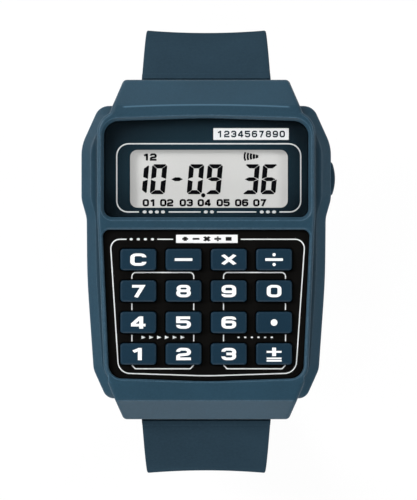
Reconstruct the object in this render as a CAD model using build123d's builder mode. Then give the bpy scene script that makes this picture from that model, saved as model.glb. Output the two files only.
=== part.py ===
from build123d import *

import math
import os

# A digital calculator watch: resin case, sixteen-key keypad, display module and an unfastened strap.
# Z = 0 is the outer face of the case back, +Z looks out of the display, +Y is 12 o'clock and +X is
# 3 o'clock. Lengths are in millimetres. Side 1 is the 12 o'clock end and side -1 the 6 o'clock end.

os.makedirs("parts", exist_ok=True)

# Fits and cuts
loose_fit = 0.05
running_fit = 0.03
key_fit = 0.12
strap_fit = 0.15
module_fit = 0.15
slack_fit = 0.3
overrun = 1.0
SIDES = (1, -1)

# Keys
key_columns = 4
key_rows = 4
key_pitch_x = 6.24
key_pitch_y = 4.34
key_length = 4.96
key_width = 2.95
key_corner = 0.45
key_edge = 0.24
key_proud = 0.7
flange_margin = 0.32
flange_height = 0.45
stem_diameter = 2.0
stem_length = 2.0
key_names = (
    ("key_clear", "key_minus", "key_times", "key_divide"),
    ("key_7", "key_8", "key_9", "key_0"),
    ("key_4", "key_5", "key_6", "key_point"),
    ("key_1", "key_2", "key_3", "key_equals"),
)

# Keypad recess and plate
keypad_margin_top = 2.645
keypad_margin_bottom = 2.315
keypad_corner_top = 0.9
keypad_corner_bottom = 1.9
keypad_ledge_top = 1.3
keypad_ledge_bottom = 0.4
keypad_ledge_end = 1.6
keypad_plate_thickness = 0.9
plate_hole_corner = 0.5

# Display recess, lens and mask
display_length = 13.72
display_ledge = 1.12
display_ledge_end = 1.56
display_corner_top = 2.1
display_corner_bottom = 1.2
recess_bow = 0.45
recess_bow_radius = 60.0
divider_width = 1.71
lens_thickness = 1.1
lens_edge = 0.15
lens_sunk = 0.85
mask_thickness = 0.2
tape_thickness = 0.15
window_length = 21.83
window_width = 8.01
window_corner = 1.0
window_shift_x = 0.38
window_from_divider = 5.35

# Case
cavity_margin = 1.16
cavity_corner = 2.0
flank_wall = 4.3
flank_foot_edge = 0.5
bevel_width = 1.3
bevel_drop = 1.0
ridge_rise = 1.8
ridge_proud = 0.8
ridge_width = 0.92
keypad_ridge_width = 0.62
ridge_corner = 3.0
ridge_edge = 0.28
recess_edge = 0.18
display_edge = 0.42
recess_land = 0.3
upper_hood_length = 5.4
lower_hood_length = 5.36
upper_crease = 1.81
lower_crease = 2.66
crease_drop = 0.38
hood_end_drop = 2.95
hood_end_width = 22.9
hood_root_width = 27.0
hood_corner = 0.7
hood_edge = 0.6
hood_underside_drop = 4.0
lug_tip_rise = 0.8
shelf_thickness = 0.7

# The corners of the flank, as shares of the half width and the half length, with their radii as
# shares of the half width: shoulder, two corners of the button guard, waist, lower side and heel.
flank_corner_shares = (
    (0.855, 0.845, 0.116),
    (1.0, 0.610, 0.347),
    (1.0, 0.295, 0.231),
    (0.958, 0.187, 0.231),
    (0.954, -0.170, 5.8),
    (0.903, -0.705, 0.173),
    (0.798, -0.8765, 0.092),
)

# Case back, gasket and screws
back_thickness = 0.8
back_proud = 0.3
back_rim = 1.1
back_corner = 2.6
gasket_width = 0.5
gasket_height = 0.4
boss_radius = 1.5
boss_inset = 1.0
boss_height = 2.1
screw_radius = 0.5
screw_head_radius = 1.0
screw_head_height = 0.4
screw_slot_width = 0.25
screw_slot_depth = 0.15
screw_length = 1.9

# Battery, its clip, and the frame round it
battery_diameter = 20.0
battery_thickness = 1.6
battery_rim = 1.2
battery_step = 0.15
battery_from_bottom = 11.1
battery_gap = 0.35
clip_strip_thickness = 0.2
clip_strip_width = 4.0
clip_strip_length = 23.6
frame_rim = 1.4
frame_web = 0.75
frame_play = 0.05

# Circuit board and what it carries. Places are shares of the cavity's half width and top half length.
board_thickness = 0.6
board_gap = 0.2
chip_radius = 2.8
chip_height = 0.8
chip_edge = 0.3
chip_place_share = (-0.5, 0.64)
crystal_radius = 0.75
crystal_length = 5.0
crystal_place_share = (0.42, 0.45)
coil_radius = 2.2
coil_bore_radius = 0.8
coil_height = 1.2
coil_place_share = (0.5, 0.70)
capacitor_length = 1.6
capacitor_width = 0.8
capacitor_height = 0.6
capacitor_pitch = 2.2
capacitor_place_share = (0.015, 0.75)
buzzer_radius = 6.5
buzzer_thickness = 0.3
buzzer_place_share = 0.6
buzzer_spring_radius = 0.8
buzzer_spring_wire = 0.25
buzzer_spring_place_share = (-0.04, 0.49)

# Keypad membrane
membrane_thickness = 0.5
dome_height = 1.3
dome_foot_radius = 1.7
dome_top_radius = 1.1
dome_hollow_height = 0.9
dome_wall = 0.4
membrane_margin = 0.4

# Display cell, its holder and its connectors
glass_thickness = 0.5
glass_overhang = 0.62
glass_length_y = 11.2
contact_ledge = 1.2
polariser_thickness = 0.15
polariser_margin = 0.5
backlight_thickness = 0.3
cell_gap = 0.1
zebra_width = 0.7
light_well_margin = 1.2

# Side button
pusher_length = 4.57
pusher_height = 2.2
pusher_corner = 0.7
pusher_edge = 0.2
pusher_crown_radius = 6.5
pusher_proud = 0.62
pusher_cap_depth = 1.62
pusher_travel = 0.5
pusher_from_display_top = 8.32
pusher_above_board = 1.05
pusher_stem_radius = 0.6
pusher_stem_reach = 0.5
pusher_spring_least = 0.6
pusher_spring_wall = 0.3
seal_depth = 0.4
seal_width = 0.6
seal_from_cavity = 0.85
clip_radius = 1.0
clip_thickness = 0.3
clip_groove_depth = 0.15
clip_mouth = 0.7

# Strap seats and spring bars
strap_width = 18.0
pocket_wall = 0.5
bar_inset = 2.6
bar_above_back = 3.2
bar_radius = 0.75
bar_wall = 0.1
bar_lip = 0.3
bar_short_of_strap = 0.1
tip_radius = 0.4
tip_shoulder_radius = 0.6
tip_shoulder_length = 1.2
tip_engagement = 0.85

# Strap
strap_thickness = 2.4
strap_end_width = 16.0
barrel_radius = 2.1
strap_heading = 25.0
strap_straight = 1.0
strap_reach = 31.4
lower_reach_extra = 0.7
wrist_radius = 36.0
wrist_turn = 81.0
drop_length = 32.8
heel_radius = 20.0
foot_length = 31.0
tip_rounding_share = 0.9
taper_depth = 26.0
lip_height = 0.45
lip_width = 0.55
lip_gap = 0.25
strap_holes = 7
strap_hole_radius = 1.0
strap_hole_pitch = 5.5
strap_hole_from_tip = 9.0

# Keeper, buckle and tongue
keeper_turn = 40.0
keeper_length = 5.0
keeper_wall = 1.1
keeper_room = 2.9
keeper_corner = 0.9
end_barrel_radius = 1.7
buckle_bar_radius = 0.7
buckle_side_width = 1.7
buckle_thickness = 2.0
buckle_length = 12.2
buckle_front_width = 2.0
buckle_behind = 1.6
buckle_corner = 2.2
buckle_edge = 0.3
bar_end_cover = 0.4
tongue_width = 1.8
tongue_thickness = 1.0
tongue_ring_radius = 1.45
tongue_tip_rounding_share = 0.4

# Key block and cavity, from the keys outwards
keys_span_x = (key_columns - 1) * key_pitch_x + key_length
keys_span_y = (key_rows - 1) * key_pitch_y + key_width
cavity_half_width = keys_span_x / 2 + cavity_margin
keypad_length = keys_span_y + keypad_margin_top + keypad_margin_bottom
case_length = upper_hood_length + display_length + divider_width + keypad_length + lower_hood_length
half_length = case_length / 2
half_width = cavity_half_width + flank_wall
keypad_bottom_y = -half_length + lower_hood_length
keypad_top_y = keypad_bottom_y + keypad_length
display_bottom_y = keypad_top_y + divider_width
display_top_y = display_bottom_y + display_length
first_row_y = keypad_top_y - keypad_margin_top - key_width / 2
cavity_bottom_y = keypad_bottom_y + keypad_ledge_end
cavity_top_y = display_top_y - display_ledge_end
cavity_length = cavity_top_y - cavity_bottom_y
cavity_middle_y = (cavity_top_y + cavity_bottom_y) / 2
cavity_end_y = {1: cavity_top_y, -1: -cavity_bottom_y}
window_y = display_bottom_y + window_from_divider
display_half_width = cavity_half_width + display_ledge
keypad_half_top = cavity_half_width + keypad_ledge_top
keypad_half_bottom = cavity_half_width + keypad_ledge_bottom

# Heights, from the back up through the module to the keys, then down to the display cell
case_bottom_z = back_proud
cavity_floor_z = back_thickness
battery_z = cavity_floor_z + battery_gap
board_z = battery_z + battery_thickness + board_gap
board_top_z = board_z + board_thickness
membrane_top_z = board_top_z + membrane_thickness
dome_top_z = membrane_top_z + dome_height
stem_bottom_z = dome_top_z + loose_fit
flange_z = stem_bottom_z + stem_length
flange_top_z = flange_z + flange_height
plate_z = flange_top_z + loose_fit
plate_top_z = plate_z + keypad_plate_thickness
key_top_z = plate_top_z + key_proud
ridge_z = plate_top_z + ridge_proud
step_z = ridge_z - ridge_rise
hood_underside_z = ridge_z - hood_underside_drop
lens_top_z = ridge_z - lens_sunk
lens_z = lens_top_z - lens_thickness
mask_z = lens_z - mask_thickness
tape_z = mask_z - tape_thickness
shelf_z = tape_z - shelf_thickness
front_glass_z = shelf_z - cell_gap - glass_thickness
rear_glass_z = front_glass_z - glass_thickness
rear_polariser_z = rear_glass_z - polariser_thickness
backlight_z = rear_polariser_z - backlight_thickness

# Strap seats
pocket_y = {side: cavity_end_y[side] + back_rim + pocket_wall for side in SIDES}
bar_y = {side: pocket_y[side] + bar_inset for side in SIDES}
bar_z = bar_above_back
pocket_half_width = strap_width / 2 + strap_fit


def closed(right_side):
    """Right-hand corners (x, y, radius), top to bottom, with their mirror image; x = 0 stays single."""
    return list(right_side) + [(-x, y, r) for x, y, r in reversed(right_side) if x]


def outline(right_side, drawn_in=0):
    """Face with these rounded corners in the open sketch, drawn in by a clearance."""
    corners = closed(right_side)
    with BuildLine() as loop:
        FilletPolyline([(x, y) for x, y, r in corners], radius=[r for x, y, r in corners], close=True)
    make_face(loop.edges())
    if drawn_in:
        offset(amount=-drawn_in)


def share_place(share):
    """Place on the board, from shares of the cavity's half width and top half length."""
    return share[0] * cavity_half_width, share[1] * cavity_top_y


upper_crease_y = display_top_y + upper_crease
lower_crease_y = keypad_bottom_y - lower_crease
flank_corners = [(x * half_width, y * half_length, r * half_width) for x, y, r in flank_corner_shares]
spine_corners = (
    (hood_end_width / 2, half_length, hood_corner),
    (hood_root_width / 2, display_top_y + recess_land, 0),
    (hood_root_width / 2, keypad_bottom_y - recess_land, 0),
    (hood_end_width / 2, -half_length, hood_corner),
)
ridge_corners = (
    (display_half_width + ridge_width, display_top_y + ridge_width, ridge_corner),
    (display_half_width + ridge_width, display_bottom_y, ridge_corner),
    (keypad_half_top + keypad_ridge_width, keypad_top_y, ridge_corner),
    (keypad_half_bottom + keypad_ridge_width, keypad_bottom_y - keypad_ridge_width, ridge_corner),
)
display_corners = (
    (0, display_top_y, recess_bow_radius),
    (display_half_width, display_top_y - recess_bow, display_corner_top),
    (display_half_width, display_bottom_y, display_corner_bottom),
)
keypad_corners = (
    (keypad_half_top, keypad_top_y, keypad_corner_top),
    (keypad_half_bottom, keypad_bottom_y + recess_bow, keypad_corner_bottom),
    (0, keypad_bottom_y, recess_bow_radius),
)

# Side view of the case in Y and Z: over both hoods, then back along the foot.
side_view = (
    (half_length, ridge_z - hood_end_drop),
    (upper_crease_y, ridge_z - crease_drop),
    (display_top_y + recess_land, ridge_z),
    (keypad_bottom_y - recess_land, ridge_z),
    (lower_crease_y, ridge_z - crease_drop),
    (-half_length, ridge_z - hood_end_drop),
    (-half_length, case_bottom_z + lug_tip_rise),
    (-pocket_y[-1], case_bottom_z),
    (pocket_y[1], case_bottom_z),
    (half_length, case_bottom_z + lug_tip_rise),
)


def cut_to_side_view():
    """Keeps what lies within the side view of the case."""
    with BuildSketch(Plane.YZ) as view:
        with BuildLine():
            Polyline(side_view, close=True)
        make_face()
    extrude(view.sketch, amount=half_width + overrun, both=True, mode=Mode.INTERSECT)


# Case, first as three blocks: flanks with a bevel, spine with both hoods, and raised frame
with BuildPart() as flanks:
    with BuildSketch(Plane.XY.offset(case_bottom_z)):
        outline(flank_corners)
    extrude(amount=step_z - case_bottom_z)
    flank_top = flanks.faces().sort_by(Axis.Z)[-1]
    chamfer(flank_top.edges(), length=bevel_width, length2=bevel_drop, reference=flank_top)
    chamfer(flanks.faces().sort_by(Axis.Z)[0].edges(), length=flank_foot_edge)

with BuildPart() as spine:
    with BuildSketch(Plane.XY.offset(case_bottom_z)):
        outline(spine_corners)
    extrude(amount=ridge_z - case_bottom_z)
    cut_to_side_view()
    high_edges = spine.edges().filter_by(lambda e: e.center().Z > ridge_z - hood_end_drop - hood_edge)
    outer_rims = high_edges.filter_by(lambda e: abs(e.center().Y) > max(upper_crease_y, -lower_crease_y))
    inner_rims = high_edges.filter_by(Axis.X, reverse=True).filter_by(
        lambda e: min(display_top_y, -keypad_bottom_y) + recess_land < abs(e.center().Y) < upper_crease_y
    )
    fillet(outer_rims + inner_rims, radius=hood_edge)

with BuildPart() as raised_frame:
    with BuildSketch(Plane.XY.offset(case_bottom_z)):
        outline(ridge_corners)
    extrude(amount=ridge_z - case_bottom_z)
    chamfer(raised_frame.faces().sort_by(Axis.Z)[-1].edges(), length=ridge_edge)
    cut_to_side_view()

# The places that the pieces share
boss_places = [
    (x_side * (cavity_half_width - boss_inset), side * (cavity_end_y[side] - boss_inset))
    for side in SIDES
    for x_side in SIDES
]
back_half_width = cavity_half_width + back_rim
back_length = cavity_length + 2 * back_rim
gasket_middle = (back_rim - gasket_width) / 2
pusher_y = display_top_y - pusher_from_display_top
pusher_z = board_top_z + pusher_above_board
pusher_outer_x = half_width + pusher_proud
pusher_cap_x = pusher_outer_x - pusher_cap_depth
pusher_floor_x = pusher_cap_x - pusher_travel - pusher_spring_least
seal_x = cavity_half_width + seal_from_cavity
window_half_length = window_length / 2 + glass_overhang


def across(x):
    """Plane square to X at x, with Y to the right and Z up."""
    return Plane.YZ.offset(x)


def cavity_outline(drawn_in=0):
    """Outline of the cavity, drawn in by a clearance."""
    with Locations((0, cavity_middle_y)):
        RectangleRounded(
            2 * (cavity_half_width - drawn_in), cavity_length - 2 * drawn_in, cavity_corner
        )


def back_outline(drawn_in=0):
    """Outline of the case back, drawn in by a clearance."""
    with Locations((0, cavity_middle_y)):
        RectangleRounded(2 * (back_half_width - drawn_in), back_length - 2 * drawn_in, back_corner)


def gasket_ring(clearance=0):
    """Ring of the gasket round the cavity, less a clearance on each side."""
    back_outline(gasket_middle + clearance)
    with Locations((0, cavity_middle_y)):
        RectangleRounded(
            2 * (back_half_width - gasket_middle - gasket_width + clearance),
            back_length - 2 * (gasket_middle + gasket_width - clearance),
            back_corner - gasket_width,
            mode=Mode.SUBTRACT,
        )


def pusher_outline(clearance=0):
    """Outline of the side button, seen along X, with a clearance round it."""
    with Locations((pusher_y, pusher_z)):
        RectangleRounded(pusher_length + 2 * clearance, pusher_height + 2 * clearance, pusher_corner)


def pusher_bore(x_low, x_high, radius, mode=Mode.SUBTRACT):
    """Round bar along the side button's axis, between two distances from the middle plane."""
    with BuildSketch(across(x_low)) as section:
        with Locations((pusher_y, pusher_z)):
            Circle(radius)
    extrude(section.sketch, amount=x_high - x_low, mode=mode)


# The two recesses, each a straight pocket with a flared mouth
with BuildPart() as display_cut:
    with BuildSketch(Plane.XY.offset(ridge_z - display_edge)):
        outline(display_corners, -display_edge)
    extrude(amount=display_edge + overrun)
    chamfer(display_cut.faces().sort_by(Axis.Z)[0].edges(), length=display_edge)
    with BuildSketch(Plane.XY.offset(tape_z)):
        outline(display_corners)
    extrude(amount=ridge_z - tape_z)

with BuildPart() as keypad_cut:
    with BuildSketch(Plane.XY.offset(ridge_z - recess_edge)):
        outline(keypad_corners, -recess_edge)
    extrude(amount=recess_edge + overrun)
    chamfer(keypad_cut.faces().sort_by(Axis.Z)[0].edges(), length=recess_edge)
    with BuildSketch(Plane.XY.offset(plate_z)):
        outline(keypad_corners)
    extrude(amount=ridge_z - plate_z)

# Case, from its three blocks
with BuildPart() as case_body:
    add(flanks.part)
    add(spine.part)
    add(raised_frame.part)
    add(display_cut.part, mode=Mode.SUBTRACT)
    add(keypad_cut.part, mode=Mode.SUBTRACT)

    # Seat of the back, cavity, keypad opening and display window
    with BuildSketch(Plane.XY.offset(case_bottom_z)):
        back_outline(-loose_fit)
    extrude(amount=cavity_floor_z - case_bottom_z, mode=Mode.SUBTRACT)
    with BuildSketch(Plane.XY.offset(cavity_floor_z)):
        cavity_outline()
    extrude(amount=shelf_z - cavity_floor_z, mode=Mode.SUBTRACT)
    with BuildSketch(Plane.XY.offset(cavity_floor_z)):
        cavity_outline()
        with Locations((0, keypad_top_y - keypad_ledge_bottom)):
            Rectangle(
                2 * half_width, cavity_length, align=(Align.CENTER, Align.MAX), mode=Mode.INTERSECT
            )
    extrude(amount=plate_z - cavity_floor_z + loose_fit, mode=Mode.SUBTRACT)
    with BuildSketch(Plane.XY.offset(shelf_z)):
        with Locations((window_shift_x / 2, window_y)):
            RectangleRounded(2 * window_half_length, window_width + 2 * glass_overhang, window_corner)
    extrude(amount=tape_z - shelf_z, mode=Mode.SUBTRACT)
    with BuildSketch(Plane.XY.offset(cavity_floor_z)):
        gasket_ring()
    extrude(amount=gasket_height, mode=Mode.SUBTRACT)

    # Screw bosses in the corners of the cavity
    with BuildSketch(Plane.XY.offset(cavity_floor_z)) as bosses:
        with Locations(boss_places):
            Circle(boss_radius)
        with Locations((0, cavity_middle_y)):
            RectangleRounded(2 * cavity_half_width, cavity_length, cavity_corner, mode=Mode.INTERSECT)
    extrude(bosses.sketch, amount=boss_height)
    with BuildSketch(Plane.XY.offset(cavity_floor_z)):
        with Locations(boss_places):
            Circle(screw_radius + running_fit)
    extrude(amount=screw_length, mode=Mode.SUBTRACT)

    # Seats of the strap under the hoods, and the blind holes for the bar tips
    for side in SIDES:
        with BuildSketch(Plane.XY):
            with Locations((0, side * pocket_y[side])):
                Rectangle(
                    2 * pocket_half_width,
                    half_length - pocket_y[side] + overrun,
                    align=(Align.CENTER, Align.MIN if side > 0 else Align.MAX),
                )
        extrude(amount=hood_underside_z, mode=Mode.SUBTRACT)
        with BuildSketch(Plane.YZ):
            with Locations((side * bar_y[side], bar_z)):
                Circle(tip_radius + loose_fit)
        extrude(amount=pocket_half_width + tip_engagement + loose_fit, both=True, mode=Mode.SUBTRACT)

    # Side button: pocket, stem hole and groove of its seal
    with BuildSketch(across(pusher_floor_x)):
        pusher_outline(loose_fit)
    extrude(amount=half_width - pusher_floor_x + overrun, mode=Mode.SUBTRACT)
    pusher_bore(cavity_half_width - loose_fit, pusher_floor_x, pusher_stem_radius + running_fit)
    pusher_bore(seal_x, seal_x + seal_width, pusher_stem_radius + seal_depth)
case_body.part.label = "case_body"
export_step(case_body.part, "parts/case_body.step")

# Case back with counterbored screw holes, its gasket and its screws
with BuildPart() as case_back:
    with BuildSketch(Plane.XY):
        back_outline()
    extrude(amount=back_thickness)
    chamfer(case_back.faces().sort_by(Axis.Z)[0].edges(), length=back_proud / 2)
    with Locations([(x, y, 0) for x, y in boss_places]):
        Cylinder(
            screw_radius + loose_fit,
            back_thickness,
            align=(Align.CENTER, Align.CENTER, Align.MIN),
            mode=Mode.SUBTRACT,
        )
        Cylinder(
            screw_head_radius + loose_fit,
            screw_head_height,
            align=(Align.CENTER, Align.CENTER, Align.MIN),
            mode=Mode.SUBTRACT,
        )
case_back.part.label = "case_back"
export_step(case_back.part, "parts/case_back.step")

with BuildPart() as back_gasket:
    with BuildSketch(Plane.XY.offset(cavity_floor_z)):
        gasket_ring(running_fit)
    extrude(amount=gasket_height - running_fit)
back_gasket.part.label = "back_gasket"
export_step(back_gasket.part, "parts/back_gasket.step")

with BuildPart() as back_screws:
    for x, y in boss_places:
        with BuildSketch(Plane.XY.offset(running_fit)):
            with Locations((x, y)):
                Circle(screw_head_radius)
        extrude(amount=screw_head_height - running_fit)
        with BuildSketch(Plane.XY.offset(screw_head_height)):
            with Locations((x, y)):
                Circle(screw_radius)
        extrude(amount=cavity_floor_z + screw_length - screw_head_height - loose_fit)
        with BuildSketch(Plane.XY.offset(running_fit)):
            with Locations((x, y)):
                Rectangle(2 * screw_head_radius, screw_slot_width)
                Rectangle(screw_slot_width, 2 * screw_head_radius)
        extrude(amount=screw_slot_depth, mode=Mode.SUBTRACT)
back_screws.part.label = "back_screws"
export_step(back_screws.part, "parts/back_screws.step")

# Battery, its clip, and the moulded frame round it
battery_y = cavity_bottom_y + battery_from_bottom
pocket_radius = battery_diameter / 2 + module_fit
frame_top_z = board_z - frame_play
with BuildPart() as battery:
    with BuildSketch(Plane.XY.offset(battery_z + battery_step)):
        with Locations((0, battery_y)):
            Circle(battery_diameter / 2)
    extrude(amount=battery_thickness - battery_step)
    chamfer(battery.faces().sort_by(Axis.Z)[-1].edges(), length=battery_step)
    with BuildSketch(Plane.XY.offset(battery_z)):
        with Locations((0, battery_y)):
            Circle(battery_diameter / 2 - battery_rim)
    extrude(amount=battery_step)
battery.part.label = "battery"
export_step(battery.part, "parts/battery.step")

with BuildPart() as battery_clip:
    with BuildSketch(Plane.XY.offset(battery_z - frame_play - clip_strip_thickness)):
        with Locations((0, battery_y)):
            Rectangle(clip_strip_length, clip_strip_width)
            Circle(clip_strip_width)
    extrude(amount=clip_strip_thickness)
battery_clip.part.label = "battery_clip"
export_step(battery_clip.part, "parts/battery_clip.step")

well_bottom_y = battery_y + pocket_radius + frame_web
well_top_y = cavity_top_y - frame_rim
with BuildPart() as module_frame:
    with BuildSketch(Plane.XY.offset(battery_z)):
        cavity_outline(module_fit)
        with Locations(boss_places):
            Circle(boss_radius + module_fit, mode=Mode.SUBTRACT)
        with Locations((0, battery_y)):
            Circle(pocket_radius, mode=Mode.SUBTRACT)
        with Locations((0, (well_bottom_y + well_top_y) / 2)):
            RectangleRounded(
                2 * (cavity_half_width - boss_inset - boss_radius - module_fit - frame_web),
                well_top_y - well_bottom_y,
                window_corner,
                mode=Mode.SUBTRACT,
            )
    extrude(amount=frame_top_z - battery_z)
module_frame.part.label = "module_frame"
export_step(module_frame.part, "parts/module_frame.step")

# Circuit board, and what is soldered under it
with BuildPart() as circuit_board:
    with BuildSketch(Plane.XY.offset(board_z)):
        cavity_outline(module_fit)
    extrude(amount=board_thickness)
circuit_board.part.label = "circuit_board"
export_step(circuit_board.part, "parts/circuit_board.step")

under_board = Plane.XY.offset(board_z)
with BuildPart() as chip_cover:
    with BuildSketch(under_board):
        with Locations(share_place(chip_place_share)):
            Circle(chip_radius)
    extrude(amount=-chip_height)
    fillet(chip_cover.faces().sort_by(Axis.Z)[0].edges(), radius=chip_edge)
chip_cover.part.label = "chip_cover"
export_step(chip_cover.part, "parts/chip_cover.step")

crystal_x, crystal_y = share_place(crystal_place_share)
with BuildPart() as quartz_crystal:
    with BuildSketch(across(crystal_x - crystal_length / 2)):
        with Locations((crystal_y, board_z - crystal_radius)):
            Circle(crystal_radius)
    extrude(amount=crystal_length)
quartz_crystal.part.label = "quartz_crystal"
export_step(quartz_crystal.part, "parts/quartz_crystal.step")

with BuildPart() as light_coil:
    with BuildSketch(under_board):
        with Locations(share_place(coil_place_share)):
            Circle(coil_radius)
            Circle(coil_bore_radius, mode=Mode.SUBTRACT)
    extrude(amount=-coil_height)
light_coil.part.label = "light_coil"
export_step(light_coil.part, "parts/light_coil.step")

with BuildPart() as chip_capacitors:
    with BuildSketch(under_board):
        with Locations(share_place(capacitor_place_share)):
            with GridLocations(capacitor_pitch, capacitor_pitch, 2, 2):
                Rectangle(capacitor_length, capacitor_width)
    extrude(amount=-capacitor_height)
chip_capacitors.part.label = "chip_capacitors"
export_step(chip_capacitors.part, "parts/chip_capacitors.step")

# Buzzer on the back, and the spring that feeds it
with BuildPart() as buzzer_disc:
    with BuildSketch(Plane.XY.offset(cavity_floor_z)):
        with Locations((0, buzzer_place_share * cavity_top_y)):
            Circle(buzzer_radius)
    extrude(amount=buzzer_thickness)
buzzer_disc.part.label = "buzzer_disc"
export_step(buzzer_disc.part, "parts/buzzer_disc.step")

with BuildPart() as buzzer_spring:
    with BuildSketch(under_board):
        with Locations(share_place(buzzer_spring_place_share)):
            Circle(buzzer_spring_radius)
            Circle(buzzer_spring_radius - buzzer_spring_wire, mode=Mode.SUBTRACT)
    extrude(amount=cavity_floor_z + buzzer_thickness - board_z)
buzzer_spring.part.label = "buzzer_spring"
export_step(buzzer_spring.part, "parts/buzzer_spring.step")

# Keypad: membrane with its domes, plate, and the keys
column_places = [(column - (key_columns - 1) / 2) * key_pitch_x for column in range(key_columns)]
key_places = [[(x, first_row_y - row * key_pitch_y) for x in column_places] for row in range(key_rows)]
all_key_places = [place for row in key_places for place in row]
membrane_top_y = keypad_top_y - membrane_margin
membrane_bottom_y = cavity_bottom_y + membrane_margin
with BuildPart() as keypad_membrane:
    with BuildSketch(Plane.XY.offset(board_top_z)):
        with Locations((0, (membrane_top_y + membrane_bottom_y) / 2)):
            RectangleRounded(
                2 * (cavity_half_width - membrane_margin), membrane_top_y - membrane_bottom_y, window_corner
            )
    extrude(amount=membrane_thickness)
    with Locations([(x, y, membrane_top_z) for x, y in all_key_places]):
        Cone(dome_foot_radius, dome_top_radius, dome_height, align=(Align.CENTER, Align.CENTER, Align.MIN))
    with Locations([(x, y, board_top_z) for x, y in all_key_places]):
        Cone(
            dome_foot_radius - dome_wall,
            dome_top_radius - dome_wall,
            membrane_thickness + dome_hollow_height,
            align=(Align.CENTER, Align.CENTER, Align.MIN),
            mode=Mode.SUBTRACT,
        )
keypad_membrane.part.label = "keypad_membrane"
export_step(keypad_membrane.part, "parts/keypad_membrane.step")

with BuildPart() as keypad_plate:
    with BuildSketch(Plane.XY.offset(plate_z)):
        outline(keypad_corners, loose_fit)
        with Locations(all_key_places):
            RectangleRounded(
                key_length + 2 * key_fit, key_width + 2 * key_fit, plate_hole_corner, mode=Mode.SUBTRACT
            )
    extrude(amount=keypad_plate_thickness)
keypad_plate.part.label = "keypad_plate"
export_step(keypad_plate.part, "parts/keypad_plate.step")

for names, places in zip(key_names, key_places):
    for name, place in zip(names, places):
        with BuildPart() as key:
            with BuildSketch(Plane.XY.offset(stem_bottom_z)):
                with Locations(place):
                    Circle(stem_diameter / 2)
            extrude(amount=stem_length)
            with BuildSketch(Plane.XY.offset(flange_z)):
                with Locations(place):
                    RectangleRounded(
                        key_length + 2 * flange_margin, key_width + 2 * flange_margin, key_corner
                    )
            extrude(amount=flange_height)
            with BuildSketch(Plane.XY.offset(flange_top_z)):
                with Locations(place):
                    RectangleRounded(key_length, key_width, key_corner)
            extrude(amount=key_top_z - flange_top_z)
            fillet(key.faces().sort_by(Axis.Z)[-1].edges(), radius=key_edge)
        key.part.label = name
        export_step(key.part, f"parts/{name}.step")

# Display: lens, printed mask and its adhesive frame
with BuildPart() as lens:
    with BuildSketch(Plane.XY.offset(lens_z)):
        outline(display_corners, loose_fit)
    extrude(amount=lens_thickness)
    chamfer(lens.faces().sort_by(Axis.Z)[-1].edges(), length=lens_edge)
lens.part.label = "lens"
export_step(lens.part, "parts/lens.step")

with BuildPart() as display_mask:
    with BuildSketch(Plane.XY.offset(mask_z)):
        outline(display_corners, loose_fit)
        with Locations((window_shift_x, window_y)):
            RectangleRounded(window_length, window_width, window_corner, mode=Mode.SUBTRACT)
    extrude(amount=mask_thickness)
display_mask.part.label = "display_mask"
export_step(display_mask.part, "parts/display_mask.step")

with BuildPart() as lens_tape:
    with BuildSketch(Plane.XY.offset(tape_z)):
        outline(display_corners, loose_fit)
        with Locations((window_shift_x / 2, window_y)):
            RectangleRounded(
                2 * (window_half_length + loose_fit),
                window_width + 2 * (glass_overhang + loose_fit),
                window_corner,
                mode=Mode.SUBTRACT,
            )
    extrude(amount=tape_thickness)
lens_tape.part.label = "lens_tape"
export_step(lens_tape.part, "parts/lens_tape.step")

# Display cell: two glasses with a polariser outside each, and the glowing panel behind
glass_half_length = window_half_length + glass_overhang / 2


def cell_layer(z, thickness, half_length_x, length_y):
    """One flat layer of the display cell, centred behind the window."""
    with BuildSketch(Plane.XY.offset(z)) as layer:
        with Locations((window_shift_x / 2, window_y)):
            Rectangle(2 * half_length_x, length_y)
    extrude(layer.sketch, amount=thickness)


with BuildPart() as lcd_front_glass:
    cell_layer(front_glass_z, glass_thickness, glass_half_length, glass_length_y)
lcd_front_glass.part.label = "lcd_front_glass"
export_step(lcd_front_glass.part, "parts/lcd_front_glass.step")

with BuildPart() as lcd_rear_glass:
    cell_layer(rear_glass_z, glass_thickness, glass_half_length, glass_length_y - 2 * contact_ledge)
lcd_rear_glass.part.label = "lcd_rear_glass"
export_step(lcd_rear_glass.part, "parts/lcd_rear_glass.step")

polariser_half_length = window_half_length - polariser_margin / 2
polariser_length_y = window_width + 2 * glass_overhang - polariser_margin
with BuildPart() as lcd_front_polariser:
    cell_layer(
        front_glass_z + glass_thickness, polariser_thickness, polariser_half_length, polariser_length_y
    )
lcd_front_polariser.part.label = "lcd_front_polariser"
export_step(lcd_front_polariser.part, "parts/lcd_front_polariser.step")

rear_length_y = glass_length_y - 2 * (contact_ledge + polariser_margin / 2)
with BuildPart() as lcd_rear_polariser:
    cell_layer(rear_polariser_z, polariser_thickness, polariser_half_length, rear_length_y)
lcd_rear_polariser.part.label = "lcd_rear_polariser"
export_step(lcd_rear_polariser.part, "parts/lcd_rear_polariser.step")

with BuildPart() as backlight_panel:
    cell_layer(backlight_z, backlight_thickness, polariser_half_length, rear_length_y)
backlight_panel.part.label = "backlight_panel"
export_step(backlight_panel.part, "parts/backlight_panel.step")

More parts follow.
